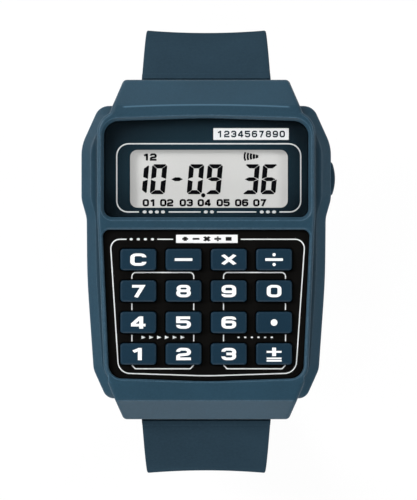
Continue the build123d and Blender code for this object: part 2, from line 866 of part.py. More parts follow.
# Holder of the cell, open in the middle, with slots for the connectors and a notch for the button
slot_pitch = glass_length_y - contact_ledge
holder_bottom_y = keypad_top_y
holder_bottom_z = board_top_z
with BuildPart() as display_holder:
    with BuildSketch(Plane.XY.offset(holder_bottom_z)):
        cavity_outline(module_fit)
        with Locations((0, holder_bottom_y)):
            Rectangle(
                2 * half_width, cavity_length, align=(Align.CENTER, Align.MIN), mode=Mode.INTERSECT
            )
    extrude(amount=front_glass_z + glass_thickness - holder_bottom_z)
    for z, half, length in (
        (front_glass_z, glass_half_length, glass_length_y),
        (rear_glass_z, glass_half_length, glass_length_y - 2 * contact_ledge),
        (backlight_z, polariser_half_length, rear_length_y),
        (
            holder_bottom_z,
            polariser_half_length - light_well_margin,
            rear_length_y - 2 * light_well_margin,
        ),
    ):
        with BuildSketch(Plane.XY.offset(z)):
            with Locations((window_shift_x / 2, window_y)):
                Rectangle(2 * (half + loose_fit), length + 2 * loose_fit)
        extrude(amount=ridge_z - z, mode=Mode.SUBTRACT)
    with BuildSketch(Plane.XY.offset(holder_bottom_z)):
        with Locations((window_shift_x / 2, window_y)):
            with GridLocations(0, slot_pitch, 1, 2):
                Rectangle(2 * (polariser_half_length + loose_fit), zebra_width + 2 * loose_fit)
    extrude(amount=front_glass_z - holder_bottom_z, mode=Mode.SUBTRACT)
    with BuildSketch(Plane.XY.offset(holder_bottom_z)):
        with Locations((polariser_half_length + window_shift_x / 2 + loose_fit, pusher_y)):
            Rectangle(half_width, 2 * (clip_radius + slack_fit), align=(Align.MIN, Align.CENTER))
    extrude(amount=ridge_z - holder_bottom_z, mode=Mode.SUBTRACT)
display_holder.part.label = "display_holder"
export_step(display_holder.part, "parts/display_holder.step")

with BuildPart() as zebra_strips:
    with BuildSketch(Plane.XY.offset(board_top_z)):
        with Locations((window_shift_x / 2, window_y)):
            with GridLocations(0, slot_pitch, 1, 2):
                Rectangle(2 * polariser_half_length, zebra_width)
    extrude(amount=front_glass_z - board_top_z)
zebra_strips.part.label = "zebra_strips"
export_step(zebra_strips.part, "parts/zebra_strips.step")

# Side button on its stem, with seal, return spring and clip
clip_x = cavity_half_width - loose_fit - clip_thickness
clip_bore_radius = pusher_stem_radius - clip_groove_depth + running_fit
with BuildPart() as side_pusher:
    with BuildSketch(across(pusher_cap_x)):
        pusher_outline()
    extrude(amount=pusher_cap_depth)
    with BuildSketch(Plane.XY):
        with Locations((pusher_outer_x - pusher_crown_radius, pusher_y)):
            Circle(pusher_crown_radius)
    extrude(amount=ridge_z, both=True, mode=Mode.INTERSECT)
    fillet(side_pusher.faces().sort_by(Axis.X)[-1].edges(), radius=pusher_edge)
    pusher_bore(cavity_half_width - pusher_stem_reach, pusher_cap_x, pusher_stem_radius, Mode.ADD)
    with BuildSketch(across(clip_x - running_fit)):
        with Locations((pusher_y, pusher_z)):
            Circle(pusher_stem_radius + overrun)
            Circle(pusher_stem_radius - clip_groove_depth, mode=Mode.SUBTRACT)
    extrude(amount=clip_thickness + 2 * running_fit, mode=Mode.SUBTRACT)
side_pusher.part.label = "side_pusher"
export_step(side_pusher.part, "parts/side_pusher.step")

with BuildPart() as pusher_clip:
    with BuildSketch(across(clip_x)):
        with Locations((pusher_y, pusher_z)):
            Circle(clip_radius)
            Circle(clip_bore_radius, mode=Mode.SUBTRACT)
            Rectangle(clip_mouth, 2 * clip_radius, align=(Align.CENTER, Align.MIN), mode=Mode.SUBTRACT)
    extrude(amount=clip_thickness)
pusher_clip.part.label = "pusher_clip"
export_step(pusher_clip.part, "parts/pusher_clip.step")

with BuildPart() as pusher_seal:
    pusher_bore(
        seal_x + running_fit,
        seal_x + seal_width - running_fit,
        pusher_stem_radius + seal_depth - running_fit,
        Mode.ADD,
    )
    pusher_bore(seal_x, seal_x + seal_width, pusher_stem_radius + running_fit)
pusher_seal.part.label = "pusher_seal"
export_step(pusher_seal.part, "parts/pusher_seal.step")

with BuildPart() as pusher_spring:
    pusher_bore(
        pusher_floor_x + running_fit,
        pusher_cap_x - running_fit,
        pusher_stem_radius + loose_fit + pusher_spring_wall,
        Mode.ADD,
    )
    pusher_bore(pusher_floor_x, pusher_cap_x, pusher_stem_radius + loose_fit)
pusher_spring.part.label = "pusher_spring"
export_step(pusher_spring.part, "parts/pusher_spring.step")

# Strap centre line: a straight lead from the bar, a bend down to the side of the wrist, then an arc
# round the wrist on the 12 o'clock half, or a drop, a heel and a flat foot on the 6 o'clock half.
lead = math.radians(strap_heading)
strap_lift = barrel_radius - strap_thickness / 2
strap_side = {1: strap_reach - strap_thickness / 2}
strap_side[-1] = strap_side[1] + lower_reach_extra
wrist_angle = math.radians(wrist_turn)


def lead_start(side, out=0):
    """Start of the strap's lead, some way outside its centre line, as (Y, Z) on the 12 o'clock side."""
    rise = strap_lift + out
    return bar_y[side] + rise * math.sin(lead), bar_z + rise * math.cos(lead)


def lead_end(side, out=0):
    """End of the strap's lead, where the bend starts."""
    y, z = lead_start(side, out)
    return y + strap_straight * math.cos(lead), z - strap_straight * math.sin(lead)


bend_radius = {side: (strap_side[side] - lead_end(side)[0]) / (1 - math.sin(lead)) for side in SIDES}
bend_z = {side: lead_end(side)[1] - bend_radius[side] * math.cos(lead) for side in SIDES}
bend_centre = {side: (strap_side[side] - bend_radius[side], bend_z[side]) for side in SIDES}
wrist_centre = (strap_side[1] - wrist_radius, bend_z[1])
heel_centre = (strap_side[-1] - heel_radius, bend_z[-1] - drop_length)
foot_z = heel_centre[1] - heel_radius
foot_tip_y = foot_length - heel_centre[0]


def on_wrist_arc(turn, radius=wrist_radius):
    """Point on the arc round the wrist, after a turn in degrees from the side of the wrist."""
    angle = math.radians(turn)
    return wrist_centre[0] + radius * math.cos(angle), wrist_centre[1] - radius * math.sin(angle)


def strap_arc(side, centre, radius, start, size):
    """Arc in the Y-Z plane, given for the 12 o'clock side and mirrored for the other."""
    if side < 0:
        start, size = 180 - start, -size
    CenterArc((side * centre[0], centre[1]), radius, start, size)


def strap_face(side, out):
    """Draws one face of a strap half, some way outside the centre line, and returns its far end."""
    start, bend = lead_start(side, out), lead_end(side, out)
    Line((side * start[0], start[1]), (side * bend[0], bend[1]))
    strap_arc(side, bend_centre[side], bend_radius[side] + out, 90 - strap_heading, strap_heading - 90)
    if side > 0:
        strap_arc(side, wrist_centre, wrist_radius + out, 0, -wrist_turn)
        return on_wrist_arc(wrist_turn, wrist_radius + out)
    drop_y, heel_z = side * (strap_side[side] + out), foot_z - out
    Line((drop_y, bend_z[side]), (drop_y, heel_centre[1]))
    strap_arc(side, heel_centre, heel_radius + out, 0, -90)
    Line((side * heel_centre[0], heel_z), (foot_tip_y, heel_z))
    return foot_tip_y, heel_z


def strap_blank(side):
    """A strap half at full width: its side view with the barrel and the lip beside the hood."""
    half = strap_thickness / 2
    with BuildSketch(Plane.YZ) as side_face:
        with BuildLine():
            outer_end = strap_face(side, half)
            inner_end = strap_face(side, -half)
            Line(outer_end, inner_end)
            outer_start, inner_start = lead_start(side, half), lead_start(side, -half)
            Line((side * outer_start[0], outer_start[1]), (side * inner_start[0], inner_start[1]))
        make_face()
        outer_radius = bend_radius[side] + half
        lip_cos = (half_length + lip_gap - bend_centre[side][0]) / outer_radius
        lip_start = math.degrees(math.acos(lip_cos))
        lip_size = math.degrees(lip_width / outer_radius)
        with BuildLine():
            corners = []
            for radius in (bend_radius[side], outer_radius + lip_height):
                strap_arc(side, bend_centre[side], radius, lip_start, -lip_size)
                corners.append(
                    [
                        (
                            side * (bend_centre[side][0] + radius * math.cos(math.radians(turn))),
                            bend_centre[side][1] + radius * math.sin(math.radians(turn)),
                        )
                        for turn in (lip_start, lip_start - lip_size)
                    ]
                )
            for inner_corner, outer_corner in zip(*corners):
                Line(inner_corner, outer_corner)
        make_face()
        with Locations((side * bar_y[side], bar_z)):
            Circle(barrel_radius)
    extrude(side_face.sketch, amount=strap_width / 2, both=True)


def strap_half_width(z):
    """Half width of the strap at a height: it narrows evenly down to the taper's depth."""
    share = min(1, max(0, (bar_z - z) / taper_depth))
    return (strap_width - share * (strap_width - strap_end_width)) / 2


def taper_strap():
    """Narrows the strap from its seat down."""
    top_z, low_z = bar_z + barrel_radius + lip_height, bar_z - taper_depth
    floor_z = foot_z - strap_thickness
    right = [(strap_width / 2, top_z), (strap_width / 2, bar_z), (strap_end_width / 2, low_z)]
    right.append((strap_end_width / 2, floor_z))
    with BuildSketch(Plane.XZ) as front_view:
        with BuildLine():
            Polyline(right + [(-x, z) for x, z in reversed(right)], close=True)
        make_face()
    half_depth = strap_reach + lower_reach_extra + overrun
    extrude(front_view.sketch, amount=half_depth, both=True, mode=Mode.INTERSECT)


def bar_hole(side):
    """Hole for the spring bar through the strap's barrel."""
    with BuildSketch(Plane.YZ) as section:
        with Locations((side * bar_y[side], bar_z)):
            Circle(bar_radius + loose_fit)
    extrude(section.sketch, amount=strap_width, both=True, mode=Mode.SUBTRACT)


# Where the buckle sits: local Y runs on along the strap and local Z points away from the wrist
pin_y, pin_z = on_wrist_arc(wrist_turn)
buckle_seat = Plane(
    origin=(0, pin_y, pin_z), x_dir=(1, 0, 0), z_dir=(0, math.cos(wrist_angle), -math.sin(wrist_angle))
)
strap_end_half_width = strap_half_width(pin_z)
slot_half_width = tongue_width / 2 + slack_fit


def buckle_plane(x):
    """Plane square to X at x, with local X along the strap and local Y away from the wrist."""
    return Plane(
        origin=buckle_seat.from_local_coords((x, 0, 0)), x_dir=buckle_seat.y_dir, z_dir=(1, 0, 0)
    )


with BuildPart() as strap_buckle_side:
    strap_blank(1)
    with BuildSketch(Plane.YZ):
        with Locations((pin_y, pin_z)):
            Circle(end_barrel_radius)
    extrude(amount=strap_width / 2, both=True)
    taper_strap()
    bar_hole(1)
    with BuildSketch(Plane.YZ):
        with Locations((pin_y, pin_z)):
            Circle(buckle_bar_radius + loose_fit)
    extrude(amount=strap_width, both=True, mode=Mode.SUBTRACT)
    with BuildSketch(buckle_seat):
        with Locations((0, -tongue_ring_radius - slack_fit)):
            Rectangle(
                2 * slot_half_width,
                2 * end_barrel_radius + tongue_ring_radius,
                align=(Align.CENTER, Align.MIN),
            )
    extrude(amount=end_barrel_radius + strap_thickness, both=True, mode=Mode.SUBTRACT)
strap_buckle_side.part.label = "strap_buckle_side"
export_step(strap_buckle_side.part, "parts/strap_buckle_side.step")

with BuildPart() as strap_hole_side:
    strap_blank(-1)
    taper_strap()
    bar_hole(-1)
    tip_edges = strap_hole_side.edges().filter_by(Axis.Z).group_by(Axis.Y)[-1]
    fillet(tip_edges, radius=tip_rounding_share * strap_end_width / 2)
    for hole in range(strap_holes):
        from_tip = strap_hole_from_tip + hole * strap_hole_pitch
        past_foot = max(0, from_tip - foot_length) / heel_radius
        radius = heel_radius if past_foot else 0
        hole_plane = Plane(
            origin=(
                0,
                foot_tip_y - min(from_tip, foot_length) - heel_radius * math.sin(past_foot),
                heel_centre[1] - heel_radius * math.cos(past_foot),
            ),
            x_dir=(1, 0, 0),
            z_dir=(0, -math.sin(past_foot), -math.cos(past_foot)),
        )
        with BuildSketch(hole_plane):
            Circle(strap_hole_radius)
        extrude(amount=strap_thickness, both=True, mode=Mode.SUBTRACT)
strap_hole_side.part.label = "strap_hole_side"
export_step(strap_hole_side.part, "parts/strap_hole_side.step")

# Spring bars: a tube with a lipped end, a spring and two tips for each
tube_half_length = strap_width / 2 - bar_short_of_strap
bore_radius = bar_radius - bar_wall
shoulder_outer = tube_half_length - bar_lip - loose_fit
shoulder_inner = shoulder_outer - tip_shoulder_length
tip_end = pocket_half_width + tip_engagement
for side, end_name in zip(SIDES, ("upper", "lower")):
    bar_place = (side * bar_y[side], bar_z)
    with BuildPart() as bar_tube:
        with BuildSketch(Plane.YZ):
            with Locations(bar_place):
                Circle(bar_radius)
        extrude(amount=tube_half_length, both=True)
        with BuildSketch(Plane.YZ):
            with Locations(bar_place):
                Circle(bore_radius)
        extrude(amount=tube_half_length - bar_lip, both=True, mode=Mode.SUBTRACT)
        with BuildSketch(Plane.YZ):
            with Locations(bar_place):
                Circle(tip_radius + running_fit)
        extrude(amount=tube_half_length, both=True, mode=Mode.SUBTRACT)
    bar_tube.part.label = f"{end_name}_bar_tube"
    export_step(bar_tube.part, f"parts/{end_name}_bar_tube.step")

    with BuildPart() as bar_spring:
        with BuildSketch(Plane.YZ):
            with Locations(bar_place):
                Circle(tip_shoulder_radius)
                Circle(tip_radius, mode=Mode.SUBTRACT)
        extrude(amount=shoulder_inner - running_fit, both=True)
    bar_spring.part.label = f"{end_name}_bar_spring"
    export_step(bar_spring.part, f"parts/{end_name}_bar_spring.step")

    for x_side, x_name in zip(SIDES, ("right", "left")):
        with BuildPart() as bar_tip:
            with BuildSketch(across(x_side * shoulder_inner)):
                with Locations(bar_place):
                    Circle(tip_shoulder_radius)
            extrude(amount=x_side * tip_shoulder_length)
            with BuildSketch(across(x_side * shoulder_outer)):
                with Locations(bar_place):
                    Circle(tip_radius)
            extrude(amount=x_side * (tip_end - shoulder_outer))
        bar_tip.part.label = f"{end_name}_bar_tip_{x_name}"
        export_step(bar_tip.part, f"parts/{end_name}_bar_tip_{x_name}.step")

# Keeper: a loose loop round the strap, with room for the other half outside it
keeper_y, keeper_z = on_wrist_arc(keeper_turn)
keeper_angle = math.radians(keeper_turn)
keeper_half_width = strap_half_width(keeper_z) + slack_fit
keeper_depth = strap_thickness + keeper_room
keeper_seat = Plane(
    origin=(0, keeper_y, keeper_z),
    x_dir=(1, 0, 0),
    z_dir=(0, -math.sin(keeper_angle), -math.cos(keeper_angle)),
)
with BuildPart() as keeper:
    with BuildSketch(keeper_seat):
        with Locations((0, strap_thickness / 2 + slack_fit - keeper_depth / 2)):
            RectangleRounded(
                2 * (keeper_half_width + keeper_wall), keeper_depth + 2 * keeper_wall, keeper_corner
            )
            Rectangle(2 * keeper_half_width, keeper_depth, mode=Mode.SUBTRACT)
    extrude(amount=keeper_length / 2, both=True)
keeper.part.label = "keeper"
export_step(keeper.part, "parts/keeper.step")

# Buckle: a frame open at the back, its bar through the strap's end, and a tongue
frame_half_inner = strap_end_half_width + slack_fit
frame_half_outer = frame_half_inner + buckle_side_width
bar_half_length = frame_half_outer - bar_end_cover
with BuildPart() as buckle_frame:
    with BuildSketch(buckle_seat) as frame_outline:
        with Locations((0, -buckle_behind)):
            Rectangle(
                2 * frame_half_outer, buckle_length + buckle_behind, align=(Align.CENTER, Align.MIN)
            )
        fillet(frame_outline.vertices().group_by(Axis.Y)[-1], radius=buckle_corner)
        with Locations((0, -buckle_behind)):
            Rectangle(
                2 * frame_half_inner,
                buckle_length + buckle_behind - buckle_front_width,
                align=(Align.CENTER, Align.MIN),
                mode=Mode.SUBTRACT,
            )
    extrude(amount=buckle_thickness / 2, both=True)
    outer_face = buckle_frame.faces().sort_by(Axis(buckle_seat.origin, buckle_seat.z_dir))[-1]
    chamfer(outer_face.edges(), length=buckle_edge)
    with BuildSketch(buckle_plane(0)):
        Circle(buckle_bar_radius + running_fit)
    extrude(amount=bar_half_length + loose_fit, both=True, mode=Mode.SUBTRACT)
buckle_frame.part.label = "buckle_frame"
export_step(buckle_frame.part, "parts/buckle_frame.step")

with BuildPart() as buckle_bar:
    with BuildSketch(buckle_plane(0)):
        Circle(buckle_bar_radius)
    extrude(amount=bar_half_length, both=True)
buckle_bar.part.label = "buckle_bar"
export_step(buckle_bar.part, "parts/buckle_bar.step")

rest_height = buckle_thickness / 2 + 2 * loose_fit
front_start = buckle_length - buckle_front_width - loose_fit
tongue_side_view = (
    (0, -tongue_thickness / 2),
    (front_start, rest_height),
    (buckle_length, rest_height),
    (buckle_length, rest_height + tongue_tip_rounding_share * tongue_thickness),
    (front_start, rest_height + tongue_thickness),
    (0, tongue_thickness / 2),
)
with BuildPart() as buckle_tongue:
    with BuildSketch(buckle_plane(0)):
        with BuildLine():
            Polyline(tongue_side_view, close=True)
        make_face()
        Circle(tongue_ring_radius)
        Circle(buckle_bar_radius + running_fit, mode=Mode.SUBTRACT)
    extrude(amount=tongue_width / 2, both=True)
buckle_tongue.part.label = "buckle_tongue"
export_step(buckle_tongue.part, "parts/buckle_tongue.step")
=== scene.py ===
import logging
import math
from dataclasses import dataclass, field
from enum import Enum
from functools import cached_property

import bmesh
import bpy
import numpy as np
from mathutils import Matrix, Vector


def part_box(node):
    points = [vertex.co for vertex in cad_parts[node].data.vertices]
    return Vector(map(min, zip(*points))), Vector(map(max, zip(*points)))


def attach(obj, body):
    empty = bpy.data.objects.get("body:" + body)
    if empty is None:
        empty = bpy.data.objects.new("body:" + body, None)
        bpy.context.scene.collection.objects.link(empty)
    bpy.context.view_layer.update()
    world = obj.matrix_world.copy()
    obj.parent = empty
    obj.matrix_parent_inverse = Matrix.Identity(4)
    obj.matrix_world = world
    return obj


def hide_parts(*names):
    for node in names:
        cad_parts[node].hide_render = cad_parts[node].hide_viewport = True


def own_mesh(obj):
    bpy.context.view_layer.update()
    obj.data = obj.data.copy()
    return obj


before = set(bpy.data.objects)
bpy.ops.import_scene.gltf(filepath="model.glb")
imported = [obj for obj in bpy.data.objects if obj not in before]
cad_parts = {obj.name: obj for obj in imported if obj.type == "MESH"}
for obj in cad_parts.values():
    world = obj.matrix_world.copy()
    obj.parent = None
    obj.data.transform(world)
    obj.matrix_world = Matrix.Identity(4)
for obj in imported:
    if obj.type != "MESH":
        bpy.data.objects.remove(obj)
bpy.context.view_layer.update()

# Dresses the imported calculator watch: resin, metal and printed finishes, the marks on the keys, the
# reading on the display, the strap, and the studio. Sizes in the classes are millimetres.

MM = 0.001
WAVE_TURN = 6.28  # Divides the scale of a wave texture, so that its bands come at their pitch
EDGE_RANGE = (0.01, 0.12)  # How far a softened normal leaves the true one at an edge, as 1 less the cosine
LOG = logging.getLogger("watch")
Pair = tuple[float, float]
Triple = tuple[float, float, float]
Colour = tuple[float, float, float]
Corners = list[Triple]
Row = tuple[str, Pair, float, Pair, float]


class Body(str, Enum):
    """The bodies that new pieces ride on."""

    HEAD = "watch_head"
    SHORT_STRAP = "short_strap"
    LONG_STRAP = "long_strap"
    KEEPER = "keeper"


def linear(colour: Colour, gain: float = 1.0, sheen: float = 0.0) -> tuple[float, float, float, float]:
    """Linear colour of a screen colour.

    Args:
        colour: Red, green and blue from 0 to 255, as seen on a screen.
        gain: Share by which the linear colour is made lighter or darker.
        sheen: White that is added to it.

    Returns:
        Linear red, green, blue and an alpha of 1.
    """
    screen = np.asarray(colour) / 255
    light = np.where(screen <= 0.04045, screen / 12.92, ((screen + 0.055) / 1.055) ** 2.4) * gain + sheen
    return (*np.clip(light, 0, 1).tolist(), 1.0)


# Shader nets


class Value:
    """A socket's output that takes part in ordinary sums, each of which adds a Math node."""

    def __init__(self, net: "Net", socket: bpy.types.NodeSocket) -> None:
        """Keeps the net and the socket."""
        self.net, self.socket = net, socket

    def maths(self, operation: str, *inputs: "Value | float") -> "Value":
        """One Math node with its operation and inputs."""
        return self.net.node("ShaderNodeMath", {"operation": operation}, dict(enumerate(inputs)))

    def __add__(self, other: "Value | float") -> "Value":
        """Sum of the two."""
        return self.maths("ADD", self, other)

    __radd__ = __add__

    def __sub__(self, other: "Value | float") -> "Value":
        """This less the other."""
        return self.maths("SUBTRACT", self, other)

    def __rsub__(self, other: float) -> "Value":
        """The other less this."""
        return self.maths("SUBTRACT", other, self)

    def __mul__(self, other: "Value | float") -> "Value":
        """Product of the two."""
        return self.maths("MULTIPLY", self, other)

    __rmul__ = __mul__

    def power(self, exponent: float) -> "Value":
        """This raised to a power."""
        return self.maths("POWER", self, exponent)

    def size(self) -> "Value":
        """This without its sign."""
        return self.maths("ABSOLUTE", self)

    def larger(self, other: "Value") -> "Value":
        """The larger of the two."""
        return self.maths("MAXIMUM", self, other)

    def beside(self, output: str) -> "Value":
        """Another output of the same node."""
        return Value(self.net, self.socket.node.outputs[output])

    def within(self, low: float, high: float) -> "Value":
        """This mapped so that low gives 0 and high gives 1, and held between them."""
        return self.net.node("ShaderNodeMapRange", {"clamp": True}, {0: self, 1: low, 2: high, 3: 0.0, 4: 1.0})


class Net:
    """A net of shader nodes, with an output node at its end."""

    def __init__(self, owner: bpy.types.Material | bpy.types.World, end: str) -> None:
        """Starts an empty net.

        Args:
            owner: The material or world that it belongs to.
            end: Blender's name of its output node.
        """
        owner.use_nodes = True
        self.tree = owner.node_tree
        self.tree.nodes.clear()
        self.end = self.tree.nodes.new(end)

    def link(self, given: object, socket: bpy.types.NodeSocket) -> None:
        """Gives a socket a link or a value.

        Args:
            given: A net's value, which is linked, or a plain value.
            socket: The socket that gets it.
        """
        if isinstance(given, Value):
            self.tree.links.new(given.socket, socket)
        else:
            socket.default_value = given

    def show(self, surface: Value) -> None:
        """Links the look of the surface to the output node."""
        self.link(surface, self.end.inputs["Surface"])

    def node(
        self,
        kind: str,
        settings: dict[str, object] | None = None,
        inputs: dict[str | int, object] | None = None,
        output: int | str = 0,
    ) -> Value:
        """Adds one node.

        Args:
            kind: Blender's name of the node type.
            settings: Attributes of the node, set first.
            inputs: Values or links of its sockets.
            output: Which output comes back.

        Returns:
            The chosen output.
        """
        made = self.tree.nodes.new(kind)
        for key, setting in (settings or {}).items():
            setattr(made, key, setting)
        for key, given in (inputs or {}).items():
            self.link(given, made.inputs[key])
        return Value(self, made.outputs[output])


class Paint(Net):
    """The net of one material, with a principled shader before its end."""

    def __init__(self, name: str) -> None:
        """Starts an empty material.

        Args:
            name: Its name.
        """
        self.material = bpy.data.materials.new(name)
        super().__init__(self.material, "ShaderNodeOutputMaterial")
        self.shader = self.node("ShaderNodeBsdfPrincipled")
        self.show(self.shader)

    def put(self, **sockets: object) -> None:
        """Sets or links the shader's own sockets, with spaces in their names as underscores."""
        for key, given in sockets.items():
            self.link(given, self.shader.socket.node.inputs[key.replace("_", " ")])

    def place(self, stretch: Triple = (1.0, 1.0, 1.0), shift: Triple = (0.0, 0.0, 0.0)) -> Value:
        """Place on the object in metres, stretched along its axes and then shifted."""
        spot = self.node("ShaderNodeTexCoord", output="Object")
        return self.node("ShaderNodeMapping", inputs={"Vector": spot, "Scale": stretch, "Location": shift})

    def noise(self, place: Value, size: float, detail: float = 3.0) -> Value:
        """Noise from 0 to 1 whose marks are about size millimetres wide."""
        return self.node("ShaderNodeTexNoise", None, {"Vector": place, "Scale": 1 / (size * MM), "Detail": detail})

    def bands(self, axis: str, pitch: float, distortion: float) -> Value:
        """Even bands.

        Args:
            axis: Axis that they lie across.
            pitch: Distance from one to the next in millimetres.
            distortion: How far they wander.

        Returns:
            Share from 0 to 1.
        """
        settings = {"wave_type": "BANDS", "bands_direction": axis, "wave_profile": "SIN"}
        scale = {"Vector": self.place(), "Scale": 1 / (pitch * MM * WAVE_TURN), "Distortion": distortion}
        return self.node("ShaderNodeTexWave", settings, scale, "Fac")

    def mix(self, share: Value, first: object, second: object) -> Value:
        """Colour between two colours by a share."""
        return self.node("ShaderNodeMix", {"data_type": "RGBA"}, {0: share, 6: first, 7: second}, 2)

    def shades(self, share: Value, colour: Colour, low: float, high: float) -> Value:
        """Colour between two gains of one colour by a share."""
        return self.mix(share, linear(colour, low), linear(colour, high))

    def bump(self, height: Value, depth: float, normal: Value | None = None) -> Value:
        """Normal with a relief of some depth in millimetres, over another normal where one is given."""
        below = {} if normal is None else {"Normal": normal}
        return self.node("ShaderNodeBump", None, {"Height": height, "Distance": depth * MM, "Strength": 1.0, **below})

    def soft(self, radius: float) -> Value:
        """Normal that turns round edges over a radius in millimetres."""
        return self.node("ShaderNodeBevel", {"samples": 6}, {"Radius": radius * MM})

    def openness(self, reach: float) -> Value:
        """How open the surface is within a reach in millimetres: 1 when nothing is near, less in nooks."""
        return self.node("ShaderNodeAmbientOcclusion", {"samples": 8}, {"Distance": reach * MM}, "AO")

    def edges(self, radius: float) -> tuple[Value, Value]:
        """Finds sharp edges.

        Args:
            radius: Radius in millimetres over which the normal turns round them.

        Returns:
            The softened normal, and a mask that is 1 along the edges.
        """
        soft = self.soft(radius)
        true = self.node("ShaderNodeNewGeometry", output="Normal")
        along = self.node("ShaderNodeVectorMath", {"operation": "DOT_PRODUCT"}, {0: soft, 1: true}, "Value")
        return soft, (1 - along).within(*EDGE_RANGE)


# Finishes


@dataclass(frozen=True)
class Resin:
    """Moulded resin: fine grain, faint cloudiness, edges lighter with wear and a painted highlight, and painted shade
    in nooks. Sizes are millimetres.
    """

    name: str
    colour: Colour
    roughness: float = 0.5
    roughness_shares: Pair = (0.16, 0.08)
    specular: float = 0.15
    grain_size: float = 0.12
    grain_depth: float = 0.006
    cloud_size: float = 7.0
    cloud_share: float = 0.12
    cloud_range: Pair = (0.3, 0.7)
    speck_share: float = 0.45
    speck_growth: float = 2.2
    scuff_growth: float = 6.0
    scuff_range: Pair = (0.35, 0.75)
    # Edges: radius of the mask, then the painted highlight's gain and the white sheen added to it
    edge_radius: float = 0.16
    edge_highlight_gain: float = 1.35
    edge_highlight_sheen: float = 0.0
    round_radius: float = 0.0
    # Painted highlight line on the upper hood's crease: its height, bow and reach
    crease: Triple | None = None
    crease_highlight_share: float = 0.55
    crease_line: Pair = (0.04, 0.16)
    crease_fade: float = 0.4
    # Painted shade in nooks: reach of the occlusion, gain of the darkened colour, and the ranges for edges and colour
    painted_shade_reach: float = 0.0
    painted_shade_gain: float = 0.4
    painted_shade_ranges: tuple[Pair, Pair] = ((0.6, 0.95), (0.25, 0.85))

    def material(self) -> bpy.types.Material:
        """Builds the material.

        Returns:
            The finished material.
        """
        net = Paint(self.name)
        place = net.place()
        grain = net.noise(place, self.grain_size, 2.0)
        cloud = net.noise(place, self.cloud_size).within(*self.cloud_range)
        speck = net.noise(place, self.grain_size * self.speck_growth, 1.0).within(*self.cloud_range)
        share = cloud * (1 - self.speck_share) + speck * self.speck_share
        plain = net.shades(share, self.colour, 1 - self.cloud_share, 1 + self.cloud_share)
        scuffs = net.noise(place, self.grain_size * self.scuff_growth).within(*self.scuff_range)
        soft, edge = net.edges(self.edge_radius)
        # Lighter edges: partly wear, broken up by scuffs, and partly a painted highlight with white sheen added
        wear_and_highlight = edge * (scuffs * 0.5 + 0.5)
        # The crease gets a painted highlight line
        if self.crease:
            wear_and_highlight = wear_and_highlight.larger(self.crease_highlight(place) * self.crease_highlight_share)
        # Painted shade: nooks found by ambient occlusion are darkened, and edges in them lose their lighter colour
        if self.painted_shade_reach:
            free = net.openness(self.painted_shade_reach)
            wear_and_highlight = wear_and_highlight * free.within(*self.painted_shade_ranges[0])
            plain = net.mix(free.within(*self.painted_shade_ranges[1]), linear(self.colour, self.painted_shade_gain), plain)
        if self.round_radius:
            soft = net.soft(self.round_radius)
        by_grain, by_edge = self.roughness_shares
        net.put(
            Base_Color=net.mix(wear_and_highlight, plain, linear(self.colour, self.edge_highlight_gain, self.edge_highlight_sheen)),
            Roughness=self.roughness + (grain - 0.5) * by_grain - edge * by_edge,
            Normal=net.bump(grain, self.grain_depth, soft),
            Specular_IOR_Level=self.specular,
        )
        return net.material

    def crease_highlight(self, place: Value) -> Value:
        """Mask of the painted highlight line along the crease across the upper hood: a line at a height, less a bow
        times x squared.

        Args:
            place: Place on the object.

        Returns:
            1 on the crease, falling to 0 a line's width away, and past the hood's sides.
        """
        top, bow, reach = self.crease
        parts = place.net.node("ShaderNodeSeparateXYZ", None, {0: place}, "X")
        across, along = parts * (1 / MM), parts.beside("Y") * (1 / MM)
        off = along - (top - across * across * bow)
        near = 1 - off.size().within(*self.crease_line)
        return near * (1 - across.size().within(reach - self.crease_fade, reach))


@dataclass(frozen=True)
class Metal:
    """Metal with fine brush marks along one axis and slight tarnish."""

    name: str
    colour: Colour
    roughness: float = 0.28
    roughness_share: float = 0.18
    stretch: Triple = (0.05, 1.0, 1.0)
    mark_size: float = 0.08
    mark_depth: float = 0.002
    tarnish_size: float = 3.0
    tarnish_gains: Pair = (0.85, 1.08)

    def material(self) -> bpy.types.Material:
        """Builds the material.

        Returns:
            The finished material.
        """
        net = Paint(self.name)
        marks = net.noise(net.place(self.stretch), self.mark_size, 2.0)
        net.put(
            Base_Color=net.shades(net.noise(net.place(), self.tarnish_size), self.colour, *self.tarnish_gains),
            Roughness=self.roughness + marks * self.roughness_share,
            Metallic=1.0,
            Normal=net.bump(marks, self.mark_depth),
        )
        return net.material


@dataclass(frozen=True)
class Print:
    """Ink: even, matt, and a little thinner in places."""

    name: str
    colour: Colour
    roughness: float = 0.6
    specular: float = 0.2
    fleck_size: float = 0.25
    fleck_gains: Pair = (0.94, 1.03)
    roughness_share: float = 0.1

    def material(self) -> bpy.types.Material:
        """Builds the material.

        Returns:
            The finished material.
        """
        net = Paint(self.name)
        fleck = net.noise(net.place(), self.fleck_size)
        net.put(
            Base_Color=net.shades(fleck, self.colour, *self.fleck_gains),
            Roughness=self.roughness + (fleck - 0.5) * self.roughness_share,
            Specular_IOR_Level=self.specular,
        )
        return net.material


